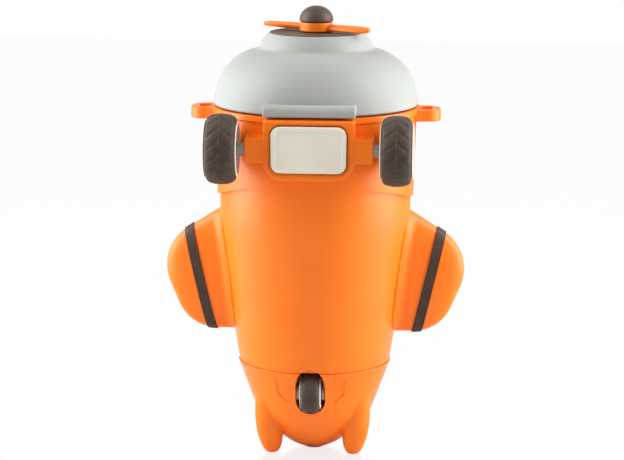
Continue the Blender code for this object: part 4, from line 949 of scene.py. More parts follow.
def make_flask():
    clear = SLEEVE_WALL + 2 * GAP
    low, high = FLASK_SHOULDER
    neck, floor = FLASK_NECK_R, FLASK_FLOOR
    side = [(sleeve_radius(z) - clear, z) for z in FLASK_SIDE_Z]
    belly, heel_r = side[0][0], side[-1][0]
    fall, rise = FLASK_BLEND
    shoulder = bezier((neck, high), (neck, high - fall), (belly, low + rise), (belly, low))
    start, lift, bend, end = FLASK_HEEL
    heel = bezier((heel_r, FLASK_SIDE_Z[-1]), (heel_r - start, floor + lift),
                  (heel_r - bend, floor), (heel_r - end, floor), 8)
    outer = [(neck, FLASK_NECK_TOP)] + shoulder[:-1] + side + heel[1:] + [(0.0, floor)]
    inner = [(0.0, floor + FLASK_WALL)]
    inner += [(r - FLASK_HEEL_WALL, z + FLASK_WALL) for r, z in reversed(heel[1:])]
    inner += [(r - FLASK_WALL, z) for r, z in reversed(shoulder[:-1] + side)]
    profile = inner + [(neck - FLASK_WALL, FLASK_NECK_TOP)] + outer
    dress(bevelled(turned("flask", profile, closed=False), FLASK_EDGE), "flask", STEEL)


def make_leg(angle):
    """A tapering leg fin, round in section."""
    facing = Vector((math.cos(math.radians(angle)), math.sin(math.radians(angle)), 0.0))
    across = Vector((-facing.y, facing.x, 0.0)) * LEG_SQUASH
    turns = [2 * math.pi * i / LEG_SIDES for i in range(LEG_SIDES)]
    spokes = [facing * math.cos(t) + across * math.sin(t) for t in turns]
    rings = []
    for z, middle, radius in through(LEG_SECTIONS, 5):
        centre = facing * middle + Vector((0.0, 0.0, z))
        rings.append([(centre + spoke * radius) * MM for spoke in spokes])
    return loft("leg", rings)


def side_pocket(side, wall):
    """The cutter of a shallow sunk panel beside the tail wheel."""
    lean = math.atan2(BOOT_TOP[0] - BOOT_WAIST[0], BOOT_TOP[1] - BOOT_WAIST[1])
    outline = [(side * x * MM, (z * MM - TAIL_WHEEL.z) / math.cos(lean)) for x, z in SIDE_POCKET]
    tilt = Matrix.Rotation(lean, 4, 'X') @ XZ_PLANE
    seat = Vector((0.0, SIDE_POCKET_SEAT, TAIL_WHEEL.z))
    outward = Vector((0.0, -math.cos(lean), -math.sin(lean)))
    middle = seat + outward * SIDE_POCKET_REACH / 2
    pocket = plate("side_pocket", outline, SIDE_POCKET_REACH, Matrix.Translation(middle) @ tilt)
    floor = [(r - SIDE_POCKET_DEPTH, z) for r, z in wall]
    profile = [(0.0, floor[0][1]), *floor, (0.0, floor[-1][1])]
    return boolean(pocket, 'DIFFERENCE', turned("pocket_floor", profile, closed=False))


def boot_body(wall):
    """The boot's outside with its legs blended in; its top has a thin bead and a rounded edge."""
    waist_r = BOOT_WAIST[0]
    top = BOOT_TOP[1] + BOOT_RISE
    steps = BOOT_CUP_STEPS
    radii = [waist_r + (BOOT_PAD_R - waist_r) * i / steps for i in range(1, steps + 1)]
    cup = [(radius, radius * radius / BOOT_CUP_LENGTH) for radius in radii]
    lip = (2 * wall[0][0] - wall[1][0], 2 * top - wall[1][1])
    base = [(BOOT_PAD_R - GAP, 0.0), (0.0, 0.0)]
    body = turned("boot", [(0.0, lip[1]), lip] + wall + cup + base, closed=False)
    boolean(body, 'UNION', *[make_leg(angle) for angle in LEG_ANGLES])
    remesh = body.modifiers.new("blend", 'REMESH')
    remesh.mode = 'VOXEL'
    remesh.voxel_size = BOOT_VOXEL
    smooth = body.modifiers.new("soften", 'SMOOTH')
    smooth.factor = BOOT_SOFTNESS
    smooth.iterations = BOOT_SMOOTHING
    bm = sliced(baked(body), Vector((0.0, 0.0, top)), Vector((0.0, 0.0, -1.0)))
    swell, height = BOOT_BEAD
    for vert in bm.verts:
        up = (vert.co.z - top) / BOOT_LIP + 1.0
        radius = math.hypot(vert.co.x, vert.co.y)
        bead = max((vert.co.z - top) / height + 1.0, 0.0)
        if bead > 0.0 and radius > SPIGOT_R:
            vert.co.x *= 1.0 + swell * bead * bead / radius
            vert.co.y *= 1.0 + swell * bead * bead / radius
        if up > 0.0 and radius > SPIGOT_R:
            shrink = BOOT_LIP * (1.0 - math.sqrt(max(1.0 - up * up, 0.0))) / radius
            vert.co.x *= 1.0 - shrink
            vert.co.y *= 1.0 - shrink
    return from_bmesh("boot", bm)


def make_boot():
    top = BOOT_TOP[1]
    wall = bezier(BOOT_TOP, *BOOT_SIDE, BOOT_WAIST)
    boot = boot_body(wall)
    mouth = SPIGOT_R + GAP
    hollow = [(0.0, top + MM), (mouth, top + MM), (mouth, SPIGOT_BOTTOM - GAP)]
    hollow += [(r - BOOT_WALL, z) for r, z in wall if BOOT_FLOOR + MM < z < SPIGOT_BOTTOM - 2 * MM]
    hollow += [(BOOT_HOLLOW_R, BOOT_FLOOR), (0.0, BOOT_FLOOR)]
    cavity = turned("boot_cavity", hollow, closed=False)
    well = box("well_block", (-WELL_HALF, WELL_FRONT, BOOT_FLOOR - MM),
               (WELL_HALF, WELL_BACK, top - GAP))
    boolean(cavity, 'DIFFERENCE', well)
    hole = cross_bar("axle_hole", TAIL_AXLE_R + GAP, TAIL_WHEEL, WELL_HALF - GAP)
    pockets = [side_pocket(side, wall) for side, _ in SIDES]
    boolean(boot, 'DIFFERENCE', cavity, tail_slot(TAIL_SLOT_BACK), *pockets, hole)
    dress(boot, "tail_boot", ORANGE)


def tyre_profile(radius, bore, width):
    """A rounded tyre section with a fine moulding seam on its crown, outer side running down."""
    half = width / 2
    seat = bore + TYRE_BEAD
    crown = []
    for i in range(TYRE_ROWS + 1):
        angle = math.pi * i / TYRE_ROWS
        across = math.copysign(abs(math.cos(angle)) ** TYRE_SQUARE[0], math.cos(angle))
        rise = (radius - SEAM_HEIGHT - seat) * math.sin(angle) ** TYRE_SQUARE[1]
        crown.append((seat + rise, half * across))
    peak = radius - SEAM_HEIGHT
    seam = [(peak, SEAM_HALF), (radius, SEAM_HALF / 3), (radius, -SEAM_HALF / 3), (peak, -SEAM_HALF)]
    crown[TYRE_ROWS // 2:TYRE_ROWS // 2 + 1] = seam
    return crown + [(bore, TYRE_BEAD - half), (bore, half - TYRE_BEAD)]


def hub_profile(radius, lip, bore, width, outer_boss):
    """A dished wheel hub whose lips stand proud of the tyre, with a boss inside and maybe outside."""
    half = width / 2
    dish = half * HUB_DISH
    seat = half + GAP
    edge = half + LIP_PROUD
    side = [(lip - LIP_WIDTH, edge), (lip, edge - LIP_FALL), (lip, seat), (radius, seat)]
    floor = (lip - LIP_WIDTH - HUB_SLOPE, dish)
    boss_r = bore + HUB_BOSS_WALL
    centre = [(bore, half), (boss_r, half), (boss_r + HUB_DRAFT, dish), floor]
    outside = centre if outer_boss else [(bore, dish), floor]
    return side + flipped(side, 1) + flipped(centre, 1) + outside


def make_tail_wheel():
    place = Matrix.Translation(TAIL_WHEEL) @ ALONG_X
    width = TAIL_TYRE_WIDTH
    tyre = turned("tyre", tyre_profile(TAIL_TYRE_R, TAIL_TYRE_BORE_R, width), MID_STEPS)
    section = hub_profile(TAIL_HUB_R, TAIL_HUB_LIP_R, TAIL_AXLE_R + GAP, width, True)
    hub = bevelled(turned("hub", section, TAIL_HUB_STEPS), FINE_EDGE, 2)
    dress(placed(tyre, place), "tail_tyre", TYRE_RUBBER)
    dress(placed(resolved(hub), place), "tail_hub", PALE)
    tip = WELL_HALF - 2 * GAP
    shoulder = width / 2 + LIP_PROUD + GAP
    cheek = TAIL_SLOT_HALF - GAP
    profile = [(0.0, tip), (TAIL_AXLE_R, tip), (TAIL_AXLE_R, cheek), (TAIL_CHEEK_R, cheek),
               (TAIL_CHEEK_R, shoulder), (TAIL_AXLE_R, shoulder)]
    profile += flipped(profile, 1)
    axle = bevelled(turned("axle", profile, SMALL_STEPS, closed=False), FINE_EDGE, 2)
    dress(placed(resolved(axle), place), "tail_axle", AXLE_GREY)


def skirt_arch():
    """The lower edge of the collar is level over belly and back and dips at both sides."""
    foot_r, foot_z = COLLAR_FOOT
    outline = []
    for i in range(ARCH_STEPS + 1):
        share = i / ARCH_STEPS
        x = math.sqrt(SKIRT_ARCH_HALF ** 2 + (foot_r ** 2 - SKIRT_ARCH_HALF ** 2) * share)
        outline.append((x, SKIRT_ARCH_Z - (SKIRT_ARCH_Z - foot_z) * share ** ARCH_CURVE))
    beyond = foot_r + RIM_DEPTH
    outline += [(beyond, foot_z), (beyond, foot_z - foot_r)]
    outline += flipped(outline, 0)
    return plate("skirt_arch", outline, 4 * foot_r, XZ_PLANE)


def button_block():
    """The block round the button, with the button's pocket sunk into it."""
    low, high = BLOCK_Z
    half = BLOCK_HALF
    cut = BLOCK_CHAMFER
    left = [(-half, high), (-half, low + cut), (cut - half, low)]
    corners = left + flipped(left, 0)
    radii = (0.0, BLOCK_CORNER, BLOCK_CORNER)
    outline = rounded(corners, radii + radii[::-1], 5)
    middle = (BLOCK_FACE_Y + BLOCK_BACK_Y) / 2
    place = Matrix.Translation((0, middle, 0)) @ XZ_PLANE
    block = bevelled(plate("block", outline, BLOCK_BACK_Y - BLOCK_FACE_Y, place), BLOCK_EDGE, 4)
    return boolean(block, 'DIFFERENCE', button_pocket())


def wheel_boss(side):
    near, far = sorted(side * x for x in BOSS_X)
    low = (near, BOSS_Y[0], WHEEL_CENTRE.z - BOSS_HEIGHT / 2)
    high = (far, BOSS_Y[1], WHEEL_CENTRE.z + BOSS_HEIGHT / 2)
    return bevelled(box("boss", low, high), BOSS_EDGE)


def strap_lug(side):
    half = LUG_HALF_Y
    front = [(LUG_ROOT_X, -half - LUG_FLARE), (LUG_WAIST_X, -half), (LUG_TIP_X, -half)]
    corners = [(side * x, y) for x, y in front + flipped(front, 1)]
    radii = (0.0, LUG_CORNER, LUG_CORNER)
    outline = rounded(corners, radii + radii[::-1], 8)
    seat = Matrix.Translation((0, 0, sum(LUG_Z) / 2))
    return bevelled(plate("lug", outline, LUG_Z[1] - LUG_Z[0], seat), LUG_EDGE)


def lug_hole(side):
    near, far = LUG_HOLE_X
    half = LUG_HOLE_HALF_Y
    corners = ((side * near, -half), (side * far, -half), (side * far, half), (side * near, half))
    outline = rounded(corners, [LUG_HOLE_CORNER] * 4, 8)
    return plate("lug_hole", outline, LUG_HOLE_DEPTH, Matrix.Translation((0, 0, RIM_Z)))


def hinge_knuckle(side):
    """One of the collar's two knuckles on its bracket."""
    near, far = COLLAR_KNUCKLE_X
    middle = side * (near + far) / 2
    root_y, foot_y, foot_z = BRACKET_ROOT
    y, z = HINGE.y, HINGE.z
    out, down = BRACKET_TOE
    back, drop = BRACKET_SEAT
    outline = ((root_y, foot_z), (foot_y, foot_z), (y + out, z - down), (y, z),
               (y - back, z - drop), (root_y, z - drop))
    bracket = plate("bracket", outline, far - near, Matrix.Translation((middle, 0, 0)) @ YZ_PLANE)
    half = (far - near) / 2 + KNUCKLE_SPARE
    knuckle = cross_bar("knuckle", KNUCKLE_R, Vector((middle, y, z)), half)
    return bevelled(bracket, SMALL_EDGE, 2), bevelled(knuckle, SMALL_EDGE, 2)


def pin_hole():
    return cross_bar("pin_hole", PIN_R + GAP, HINGE, COLLAR_KNUCKLE_X[1] + PIN_SPARE)


def button_outline(grow):
    width, height = BUTTON_SIZE
    return rounded(rectangle(width + 2 * grow, height + 2 * grow), [BUTTON_CORNER + grow] * 4)


def button_rings(steps):
    """Outlines like the button's, each at a depth and grown, round the button's centre."""
    x0, _, z0 = BUTTON_CENTRE
    return [[Vector((x0 + x, y, z0 + z)) for x, z in button_outline(grow)] for y, grow in steps]


def button_pocket():
    """The button's pocket, with a softly rounded mouth."""
    face, lip = BLOCK_FACE_Y, POCKET_LIP
    steps = [(face - MM, POCKET_GAP + lip)]
    for i in range(5):
        angle = math.pi / 2 * i / 4
        steps.append((face + lip * math.sin(angle), POCKET_GAP + lip * (1.0 - math.sin(angle))))
    steps.append((POCKET_FLOOR_Y, POCKET_GAP))
    return loft("pocket", button_rings(steps))


def trimmed(lumps, core_r, heights):
    """Lumps cut off at a cylinder inside a wall, so that only the wall's outside carries them."""
    low, high = heights
    for lump in lumps:
        core = rod("wall_core", core_r, (0.0, 0.0, low), (0.0, 0.0, high), TURN_STEPS)
        boolean(lump, 'DIFFERENCE', core)
    return lumps


def collar_profile():
    """The collar's ring: rim flange, skirt, deck and the skirt that screws on the flask's neck."""
    inner, outer = NECK_SKIRT_R
    under, deck = DECK_Z
    rim = [(RIM_R, RIM_Z), (RIM_R, RIM_Z - RIM_DEPTH), (COLLAR_TOP_R, RIM_Z - RIM_DEPTH - RIM_EDGE)]
    skirt = [COLLAR_FOOT, (COLLAR_BORE_R, COLLAR_FOOT[1]), (COLLAR_BORE_R, under)]
    neck = [(outer, under), (outer, NECK_SKIRT_Z), (inner, NECK_SKIRT_Z), (inner, under)]
    hole = [(DECK_HOLE_R, under), (DECK_HOLE_R, deck), (COLLAR_CUP_R, deck), (COLLAR_CUP_R, RIM_Z)]
    return rim + skirt + neck + hole


def nub_window():
    """The opening through the collar's wall for the button's nub."""
    width, _, height = NUB
    low = (-width / 2 - MM, POCKET_FLOOR_Y - MM, NUB_Z - height / 2 - 2 * GAP)
    high = (width / 2 + MM, WINDOW_BACK_Y, NUB_Z + height / 2 + GAP)
    return box("nub_window", low, high)


def axle_socket(side):
    start = Vector((side * AXLE_SOCKET_X, WHEEL_CENTRE.y, WHEEL_CENTRE.z))
    end = Vector((side * WHEEL_CENTRE.x, WHEEL_CENTRE.y, WHEEL_CENTRE.z))
    return rod("axle_socket", AXLE_SHOULDER_R + GAP / 2, start, end)


def make_collar():
    ring = turned("collar", collar_profile())
    collar = bevelled(resolved(boolean(ring, 'DIFFERENCE', skirt_arch())), SMALL_EDGE, 2)
    lumps = [button_block(), *hinge_knuckle(1), *hinge_knuckle(-1)]
    for side, _ in SIDES:
        lumps += [wheel_boss(side), strap_lug(side)]
    boolean(collar, 'UNION', *trimmed(lumps, COLLAR_CORE_R, COLLAR_CORE_Z))
    cuts = [nub_window(), pin_hole()]
    for side, _ in SIDES:
        cuts += [lug_hole(side), axle_socket(side)]
    boolean(collar, 'DIFFERENCE', *cuts)
    dress(collar, "collar", ORANGE)


def spout_profile():
    """The spout: lip, flared neck, flange on the deck, spigot in its hole and the drinking bore."""
    seat = DECK_Z[1] + GAP
    spigot = DECK_HOLE_R - GAP
    foot = DECK_Z[0] - SPIGOT_REACH
    bore = SPOUT_BORE_R
    flange = seat + SPOUT_FLANGE
    neck_r, lip_r = SPOUT_NECK_R
    top = SPOUT_TOP
    wide, fall, deep = SPOUT_LIP
    lip = bezier((lip_r - wide, top), (lip_r, top), (lip_r + wide, top - fall),
                 (lip_r + wide, top - deep), 6)
    neck = bezier((neck_r, top - SPOUT_NECK_DROP), *SPOUT_FLARE, (SPOUT_FOOT_R, flange))
    rim = SPOUT_FLANGE_R
    edge = [(rim - SPOUT_EDGE, flange), (rim, flange - SPOUT_EDGE), (rim, seat)]
    skirt = [(spigot, seat), (spigot, foot), (spigot - SPIGOT_WALL, foot), (spigot - SPIGOT_WALL, seat)]
    mouth, low, high = SPOUT_FUNNEL
    inside = [(bore + mouth, seat + low), (bore, seat + high), (bore, top - SPOUT_EDGE)]
    return lip + neck + edge + skirt + inside


def make_head_fittings():
    outer, inner = GASKET_R
    high, low = DECK_Z[0] - GAP, FLASK_NECK_TOP + GAP
    gasket = turned("gasket", ring_section(outer, inner, low, high))
    dress(bevelled(gasket, GASKET_EDGE), "neck_gasket", SILICONE)
    dress(bevelled(turned("spout", spout_profile()), THIN_EDGE, 2), "drinking_spout", WHITE)
    pin = cross_bar("pin", PIN_R, HINGE, COLLAR_KNUCKLE_X[1] - GAP)
    dress(bevelled(pin, SMALL_EDGE), "hinge_pin", SPRING_STEEL)


def make_button():
    place = Matrix.Translation(BUTTON_CENTRE)
    border, depth = BUTTON_BORDER
    back = BUTTON_THICKNESS / 2
    button = plate("button", button_outline(0.0), BUTTON_THICKNESS, place @ XZ_PLANE)
    bevelled(button, BUTTON_EDGE, 4)
    front = BUTTON_CENTRE.y - back
    inner, outer = PANEL_SLOPE
    slope = [(front + depth, -border - inner), (front + PANEL_SHARE * depth, -border),
             (front - MM, outer - border)]
    nub_z = NUB_Z - BUTTON_CENTRE.z
    width, reach, height = NUB
    nub_low = (-width / 2, back - MM, nub_z - height / 2)
    nub = placed(box("nub", nub_low, (width / 2, back + reach, nub_z + height / 2)), place)
    well_floor = BUTTON_CENTRE + SPRING_DROP + Vector((0.0, back - SPRING_POCKET_DEPTH, 0.0))
    well_mouth = well_floor + Vector((0.0, POCKET_REACH, 0.0))
    well = rod("spring_well", SPRING_POCKET_R, well_floor, well_mouth)
    boolean(button, 'UNION', bevelled(nub, SMALL_EDGE, 2))
    boolean(button, 'DIFFERENCE', loft("panel", button_rings(slope)), well)
    dress(button, "release_button", CREAM)
    make_spring(well_floor)


def make_spring(start):
    """The coil spring behind the button, one unbroken wire."""
    count = SPRING_TURNS * SPRING_STEPS
    rise = SPRING_LENGTH - 2 * SPRING_WIRE_R
    curve = bpy.data.curves.new("spring", 'CURVE')
    curve.dimensions = '3D'
    curve.bevel_depth = SPRING_WIRE_R
    curve.bevel_resolution = 4
    curve.use_fill_caps = True
    spline = curve.splines.new('POLY')
    spline.points.add(count)
    for i, point in enumerate(spline.points):
        angle = 2 * math.pi * i / SPRING_STEPS
        along = GAP + SPRING_WIRE_R + rise * i / count
        place = start + Vector((SPRING_R * math.cos(angle), along, SPRING_R * math.sin(angle)))
        point.co = (*place, 1.0)
    wire = bpy.data.objects.new("spring", curve)
    WORK.objects.link(wire)
    fine = dress(wire, "button_spring", SPRING_STEEL)
    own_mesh(fine)


def treaded(tyre):
    """Press chevron grooves into a tyre whose rows are sheared towards its sides."""
    columns = TREADS * TREAD_COLUMNS
    land = TREAD_LAND * TYRE_R
    ridge_fade, land_fade = TREAD_FADE
    for vert in tyre.data.vertices:
        radius = math.hypot(vert.co.x, vert.co.y)
        if radius < TYRE_BORE_R + TYRE_BEAD + MERGE:
            continue
        angle = math.atan2(vert.co.y, vert.co.x)
        column = round(angle / (2 * math.pi) * columns) % TREAD_COLUMNS
        away = abs(vert.co.z) / (TYRE_WIDTH / 2)
        across = math.exp(-((min(column, TREAD_COLUMNS - column) / TREAD_GROOVE) ** 4))
        from_ridge = min(max((away - TREAD_RIDGE) / ridge_fade, 0.0), 1.0)
        from_land = min(max((radius - land) / (land_fade * TYRE_R), 0.0), 1.0)
        radius -= TREAD_DEPTH * across * from_ridge * from_land
        angle += TREAD_SHEAR * away
        vert.co.x = radius * math.cos(angle)
        vert.co.y = radius * math.sin(angle)
    return tyre


def make_main_wheel(side, label):
    centre = Vector((side * WHEEL_CENTRE.x, WHEEL_CENTRE.y, WHEEL_CENTRE.z))
    place = Matrix.Translation(centre)
    outward = place @ Matrix.Rotation(side * math.pi / 2, 4, 'Y')
    profile = tyre_profile(TYRE_R, TYRE_BORE_R, TYRE_WIDTH)
    tyre = treaded(turned("tyre", profile, TREADS * TREAD_COLUMNS))
    section = hub_profile(HUB_R, HUB_LIP_R, AXLE_R + GAP, TYRE_WIDTH, False)
    hub = bevelled(turned("hub", section, MID_STEPS), THIN_EDGE)
    dress(placed(tyre, place @ ALONG_X), "wheel_tyre_" + label, TYRE_RUBBER)
    dress(placed(resolved(hub), outward), "wheel_hub_" + label, PALE)
    make_wheel_axle(label, outward)


def make_wheel_axle(label, outward):
    """The stub axle in its boss, and the cap sunk in the hub's dish; local Z runs outward."""
    half = TYRE_WIDTH / 2
    face = half - CAP_SINK
    tip = face - CAP_WALL - GAP
    shoulder = -half - GAP
    root = AXLE_SOCKET_X + GAP - WHEEL_CENTRE.x
    profile = [(0.0, tip), (AXLE_R, tip), (AXLE_R, shoulder), (AXLE_SHOULDER_R, shoulder),
               (AXLE_SHOULDER_R, root), (0.0, root)]
    rim = half * HUB_DISH + GAP
    bore = AXLE_R + GAP
    cap_profile = [(0.0, face), (CAP_R - CAP_EDGE, face), (CAP_R, face - CAP_EDGE), (CAP_R, rim),
                   (bore, rim), (bore, tip + GAP), (0.0, tip + GAP)]
    for node, outline in (("wheel_axle_", profile), ("axle_cap_", cap_profile)):
        piece = bevelled(turned("axle", outline, SMALL_STEPS, closed=False), FINE_EDGE, 2)
        dress(placed(resolved(piece), outward), node + label, AXLE_GREY)


def lid_outline():
    """Outer side of the two-tier dome, from the disc's shallow seat down to its rim."""
    seat_r, top = DISC_R + FINE_GAP, LID_TOP_Z + LID_RECESS
    tier = bezier((seat_r, top), *LID_TIER, LID_CREASE)
    dome = bezier(LID_SHOULDER, *LID_DOME, (LID_R, LID_FOOT_Z + LID_EDGE), 32)
    above, below = CREASE_TRIM
    tier, dome = tier[:-above], dome[below:]
    crease = bezier(tier[-1], LID_CREASE, LID_SHOULDER, dome[0], 10)
    return [(seat_r, LID_TOP_Z)] + tier + crease[1:-1] + dome + [(LID_R - LID_EDGE, LID_FOOT_Z)]


def lid_inside():
    """Inner side of the dome, from its rim up to the shaft hole in its roof."""
    roof = LID_TOP_Z - LID_WALL
    dome = bezier((LID_R - LID_WALL, LID_FOOT_Z), *LID_INNER_DOME)
    tier = bezier(*LID_INNER_TIER, (LID_TOP_R, roof), (LID_TOP_R - MM, roof), 8)
    return dome + tier + [(SHAFT_R + GAP, roof), (SHAFT_R + GAP, LID_TOP_Z)]


def lid_tab():
    """The thumb tab over the button, a bar with a rounded brow."""
    (low, high), (front, back) = TAB_Z, TAB_Y
    corners = ((front, low), (back, low), (back, high), (front, high))
    outline = rounded(corners, (TAB_UNDER, 0.0, 0.0, TAB_BROW), 8)
    return bevelled(plate("tab", outline, 2 * TAB_HALF, YZ_PLANE), TAB_EDGE, 4)


def lid_catch():
    """The springy catch behind the button, hanging inside the collar's rim."""
    front, step, back = CATCH_Y
    top, ledge, foot = CATCH_Z
    outline = ((front, top), (front, ledge), (step, ledge), (step, foot), (back, foot), (back, top))
    return bevelled(plate("catch", outline, 2 * CATCH_HALF, YZ_PLANE), THIN_EDGE, 2)


def lid_arm():
    """The lid's own hinge knuckle and the arm that carries it."""
    y, z = HINGE.y, HINGE.z
    root = BRACKET_ROOT[0]
    under, over = ARM_ROOT
    side = [(y + out, z + up) for out, up in ARM_SIDE]
    outline = [(root, z + under), *side, (root, z + over)]
    arm = bevelled(plate("arm", outline, 2 * LID_KNUCKLE_HALF, YZ_PLANE), ARM_EDGE)
    knuckle = cross_bar("lid_knuckle", KNUCKLE_R, HINGE, LID_KNUCKLE_HALF + KNUCKLE_SPARE)
    return arm, bevelled(knuckle, SMALL_EDGE, 2)


def make_lid():
    shell = turned("lid_shell", lid_outline() + lid_inside(), LID_STEPS)
    lumps = trimmed([lid_tab(), *lid_arm()], LID_CORE_R, LID_CORE_Z)
    boolean(shell, 'UNION', *lumps, lid_catch())
    boolean(shell, 'DIFFERENCE', pin_hole())
    dress(shell, "lid_shell", GREY)
    low, high = LINER_Z
    edge = LINER_EDGE
    near, far = SEAL_R + GAP, SEAL_R + GAP + SEAL_SKIRT
    skirt = low - SEAL_SKIRT
    liner = [(0.0, high), (LINER_R - edge, high), (LINER_R, high - edge), (LINER_R, low), (far, low),
             (far, skirt), (near, skirt), (near, low), (0.0, low)]
    dress(bevelled(turned("liner", liner, closed=False), THIN_EDGE, 2), "lid_liner", WHITE)
    top, foot = low - GAP, SPOUT_TOP + GAP
    pad = [(0.0, top), (SEAL_R, top), (SEAL_R, foot + edge), (SEAL_R - edge, foot), (0.0, foot)]
    dress(bevelled(turned("pad", pad, MID_STEPS, closed=False), SMALL_EDGE), "lid_seal", SILICONE)
    disc = turned("disc", ring_section(DISC_R, SHAFT_R + GAP, *DISC_Z), DISC_STEPS)
    dress(bevelled(disc, THIN_EDGE), "nose_disc", BROWN)


def propeller_blade(turn):
    """One twisted blade, thin and leaf-shaped, from inside the hub to its rounded tip."""
    rings = []
    tip_round, tip_edge = BLADE_TIP_POWERS
    for i in range(BLADE_RINGS):
        share = i / (BLADE_RINGS - 1)
        radius = BLADE_ROOT_R + (BLADE_TIP_R - BLADE_ROOT_R) * math.sin(share * math.pi / 2)
        leaf = BLADE_WAIST + (1.0 - BLADE_WAIST) * math.sin(share * math.pi)
        width = BLADE_WIDTH * leaf * math.sqrt(max(1 - share ** tip_round, BLADE_BLUNT))
        thick = BLADE_THICKNESS * (1.0 - BLADE_THINNING * share)
        thick *= math.sqrt(max(1 - share ** tip_edge, BLADE_TIP_THIN))
        pitch = Matrix.Rotation(BLADE_PITCH[0] + (BLADE_PITCH[1] - BLADE_PITCH[0]) * share, 3, 'X')
        middle = Vector((radius, 0.0, BLADE_Z))
        ring = []
        for k in range(BLADE_SIDES):
            angle = 2 * math.pi * k / BLADE_SIDES
            section = Vector((0.0, width / 2 * math.cos(angle), thick / 2 * math.sin(angle)))
            ring.append(Matrix.Rotation(turn, 3, 'Z') @ (middle + pitch @ section))
        rings.append(ring)
    return loft("blade", rings)


def make_propeller():
    low, high = PROP_Z
    hole = SHAFT_R + GAP
    hub = turned("propeller", ring_section(PROP_HUB_R, hole, low, high), MID_STEPS)
    propeller = bevelled(hub, PROP_EDGE, 4)
    boolean(propeller, 'UNION', propeller_blade(PROP_TURN), propeller_blade(PROP_TURN + math.pi))
    boolean(propeller, 'DIFFERENCE', rod("prop_bore", hole, (0, 0, low - MM), (0, 0, high + MM)))
    dress(propeller, "propeller", ORANGE)
    foot = high + GAP
    socket = foot + SPINNER_SOCKET
    waist = foot + SPINNER_WAIST
    dome = bezier((0.0, SPINNER_TOP), *SPINNER_DOME, (SPINNER_R, waist), 24)
    corner = (SPINNER_R, foot)
    turn_in = bezier((SPINNER_R, waist), corner, corner, (SPINNER_R - PROP_EDGE, foot), 5)
    spinner = dome + turn_in[1:] + [(hole, foot), (hole, socket), (0.0, socket)]
    dress(turned("spinner", spinner, MID_STEPS, closed=False), "spinner", BROWN)
    make_shaft(socket - GAP)


def make_shaft(top):
    """The propeller's shaft through the lid's roof, and the clip in its groove."""
    roof = LID_TOP_Z - LID_WALL
    high = roof - GAP
    low = high - CLIP_HEIGHT
    waist = SHAFT_R - CLIP_GROOVE
    groove_top = high + GAP / 2
    groove_low = low - GAP
    end = low - SHAFT_SPARE
    shaft = [(0.0, top), (SHAFT_R, top), (SHAFT_R, groove_top), (waist, groove_top),
             (waist, groove_low), (SHAFT_R, groove_low), (SHAFT_R, end), (0.0, end)]
    rod_piece = bevelled(turned("shaft", shaft, SMALL_STEPS, closed=False), SHAFT_EDGE, 2)
    dress(rod_piece, "propeller_shaft", SPRING_STEEL)
    clip = turned("clip", ring_section(CLIP_R, waist + GAP, low, high), SMALL_STEPS)
    dress(bevelled(clip, FINE_EDGE, 2), "shaft_clip", SPRING_STEEL)


def blended(tree, first, second, fac):
    """Two shaders mixed by a plain share or by a light path's output."""
    both = tree.nodes.new('ShaderNodeMixShader')
    if isinstance(fac, float):
        both.inputs['Fac'].default_value = fac
    else:
        tree.links.new(fac, both.inputs['Fac'])
    tree.links.new(first, both.inputs[1])
    tree.links.new(second, both.inputs[2])
    return both.outputs['Shader']


def emptied(owner):
    """The node tree of a material or world, cleared, and the outputs of a light path in it."""
    owner.use_nodes = True
    tree = owner.node_tree
    tree.nodes.clear()
    return tree, tree.nodes.new('ShaderNodeLightPath').outputs


def shade(tree, kind, **constants):
    """A plain shader with its constants, as an output."""
    node = tree.nodes.new(kind)
    for socket, value in constants.items():
        node.inputs[socket].default_value = value
    return node.outputs[0]


def paint_and_glow(tree):
    """The floor's paint and the white that stands in for it where it is seen."""
    paint = shade(tree, 'ShaderNodeBsdfDiffuse', Color=FLOOR_COLOUR)
    return paint, shade(tree, 'ShaderNodeEmission', Color=PURE_WHITE, Strength=1.0)


def show(tree, surface, kind='ShaderNodeOutputMaterial'):
    tree.links.new(surface, tree.nodes.new(kind).inputs['Surface'])


def studio_white():
    """A floor that looks white, takes a soft shadow and mirrors the bottle faintly."""
    look = bpy.data.materials.new("studio_white")
    tree, path = emptied(look)
    paint, glow = paint_and_glow(tree)
    mirror = shade(tree, 'ShaderNodeBsdfAnisotropic', Color=PURE_WHITE, Roughness=FLOOR_ROUGHNESS)
    seen = blended(tree, blended(tree, paint, glow, FLOOR_GLOW), mirror, FLOOR_MIRROR)
    show(tree, blended(tree, paint, seen, path['Is Camera Ray']))
    return look


def make_floor():
    bm = bmesh.new()
    bmesh.ops.create_grid(bm, x_segments=1, y_segments=1, size=FLOOR_HALF)
    floor = from_bmesh("studio_floor", bm)
    floor.data.materials.append(studio_white())


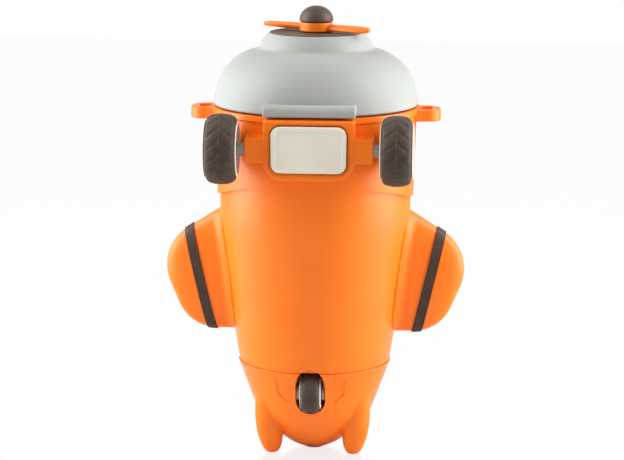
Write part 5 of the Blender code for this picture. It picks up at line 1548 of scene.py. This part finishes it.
def make_backdrop():
    """An upright white sheet that the camera and the bottle's gloss see as plain white."""
    look = bpy.data.materials.new("studio_backdrop")
    tree, path = emptied(look)
    paint, glow = paint_and_glow(tree)
    seen = blended(tree, paint, glow, path['Is Camera Ray'])
    show(tree, blended(tree, seen, glow, path['Is Glossy Ray']))
    away, half, height = BACKDROP
    bm = bmesh.new()
    corners = ((-half, 0.0), (half, 0.0), (half, height), (-half, height))
    bm.faces.new([bm.verts.new((x, away, z)) for x, z in corners])
    sheet = from_bmesh("studio_backdrop", bm)
    sheet.data.materials.append(look)


def make_sky():
    """White for the camera and in the bottle's gloss, softer for the light it sheds."""
    world = bpy.data.worlds.new("studio")
    bpy.context.scene.world = world
    tree, path = emptied(world)
    shed, white = [shade(tree, 'ShaderNodeBackground', Color=PURE_WHITE, Strength=strength)
                   for strength in (SKY_LIGHT, 1.0)]
    light = blended(tree, shed, white, path['Is Glossy Ray'])
    show(tree, blended(tree, light, white, path['Is Camera Ray']), 'ShaderNodeOutputWorld')


def make_lamp(name, place, target, size, power):
    lamp = bpy.data.lights.new(name, 'AREA')
    lamp.shape = 'RECTANGLE'
    lamp.size, lamp.size_y = size
    lamp.energy = power
    obj = bpy.data.objects.new(name, lamp)
    obj.location = place
    obj.rotation_euler = (Vector(target) - Vector(place)).to_track_quat('-Z', 'Y').to_euler()
    bpy.context.scene.collection.objects.link(obj)


def make_camera():
    lens = bpy.data.cameras.new("camera")
    lens.sensor_width = SENSOR_WIDTH
    lens.lens = SENSOR_WIDTH * CAMERA_DISTANCE / (MM_PER_PIXEL * MM * IMAGE_WIDTH)
    lens.clip_start = CAMERA_CLIP
    camera = bpy.data.objects.new("camera", lens)
    turn, lift = CAMERA_AZIMUTH, CAMERA_ELEVATION
    away = Vector((math.sin(turn) * math.cos(lift), -math.cos(turn) * math.cos(lift), math.sin(lift)))
    camera.location = CAMERA_AIM + CAMERA_DISTANCE * away
    level = (-away).to_track_quat('-Z', 'Y').to_matrix()
    camera.rotation_euler = (level @ Matrix.Rotation(CAMERA_ROLL, 3, 'Z')).to_euler()
    bpy.context.scene.collection.objects.link(camera)
    bpy.context.scene.camera = camera


make_sleeve()
make_flask()
make_boot()
make_tail_wheel()
make_collar()
make_head_fittings()
make_button()
make_lid()
make_propeller()
for side, label in SIDES:
    make_wing(side, label)
    make_main_wheel(side, label)

make_floor()
make_backdrop()
make_sky()
for name, place, target, size, power in LAMPS:
    make_lamp(name, place, target, size, power)
make_camera()
bpy.context.scene.view_settings.view_transform = 'Standard'
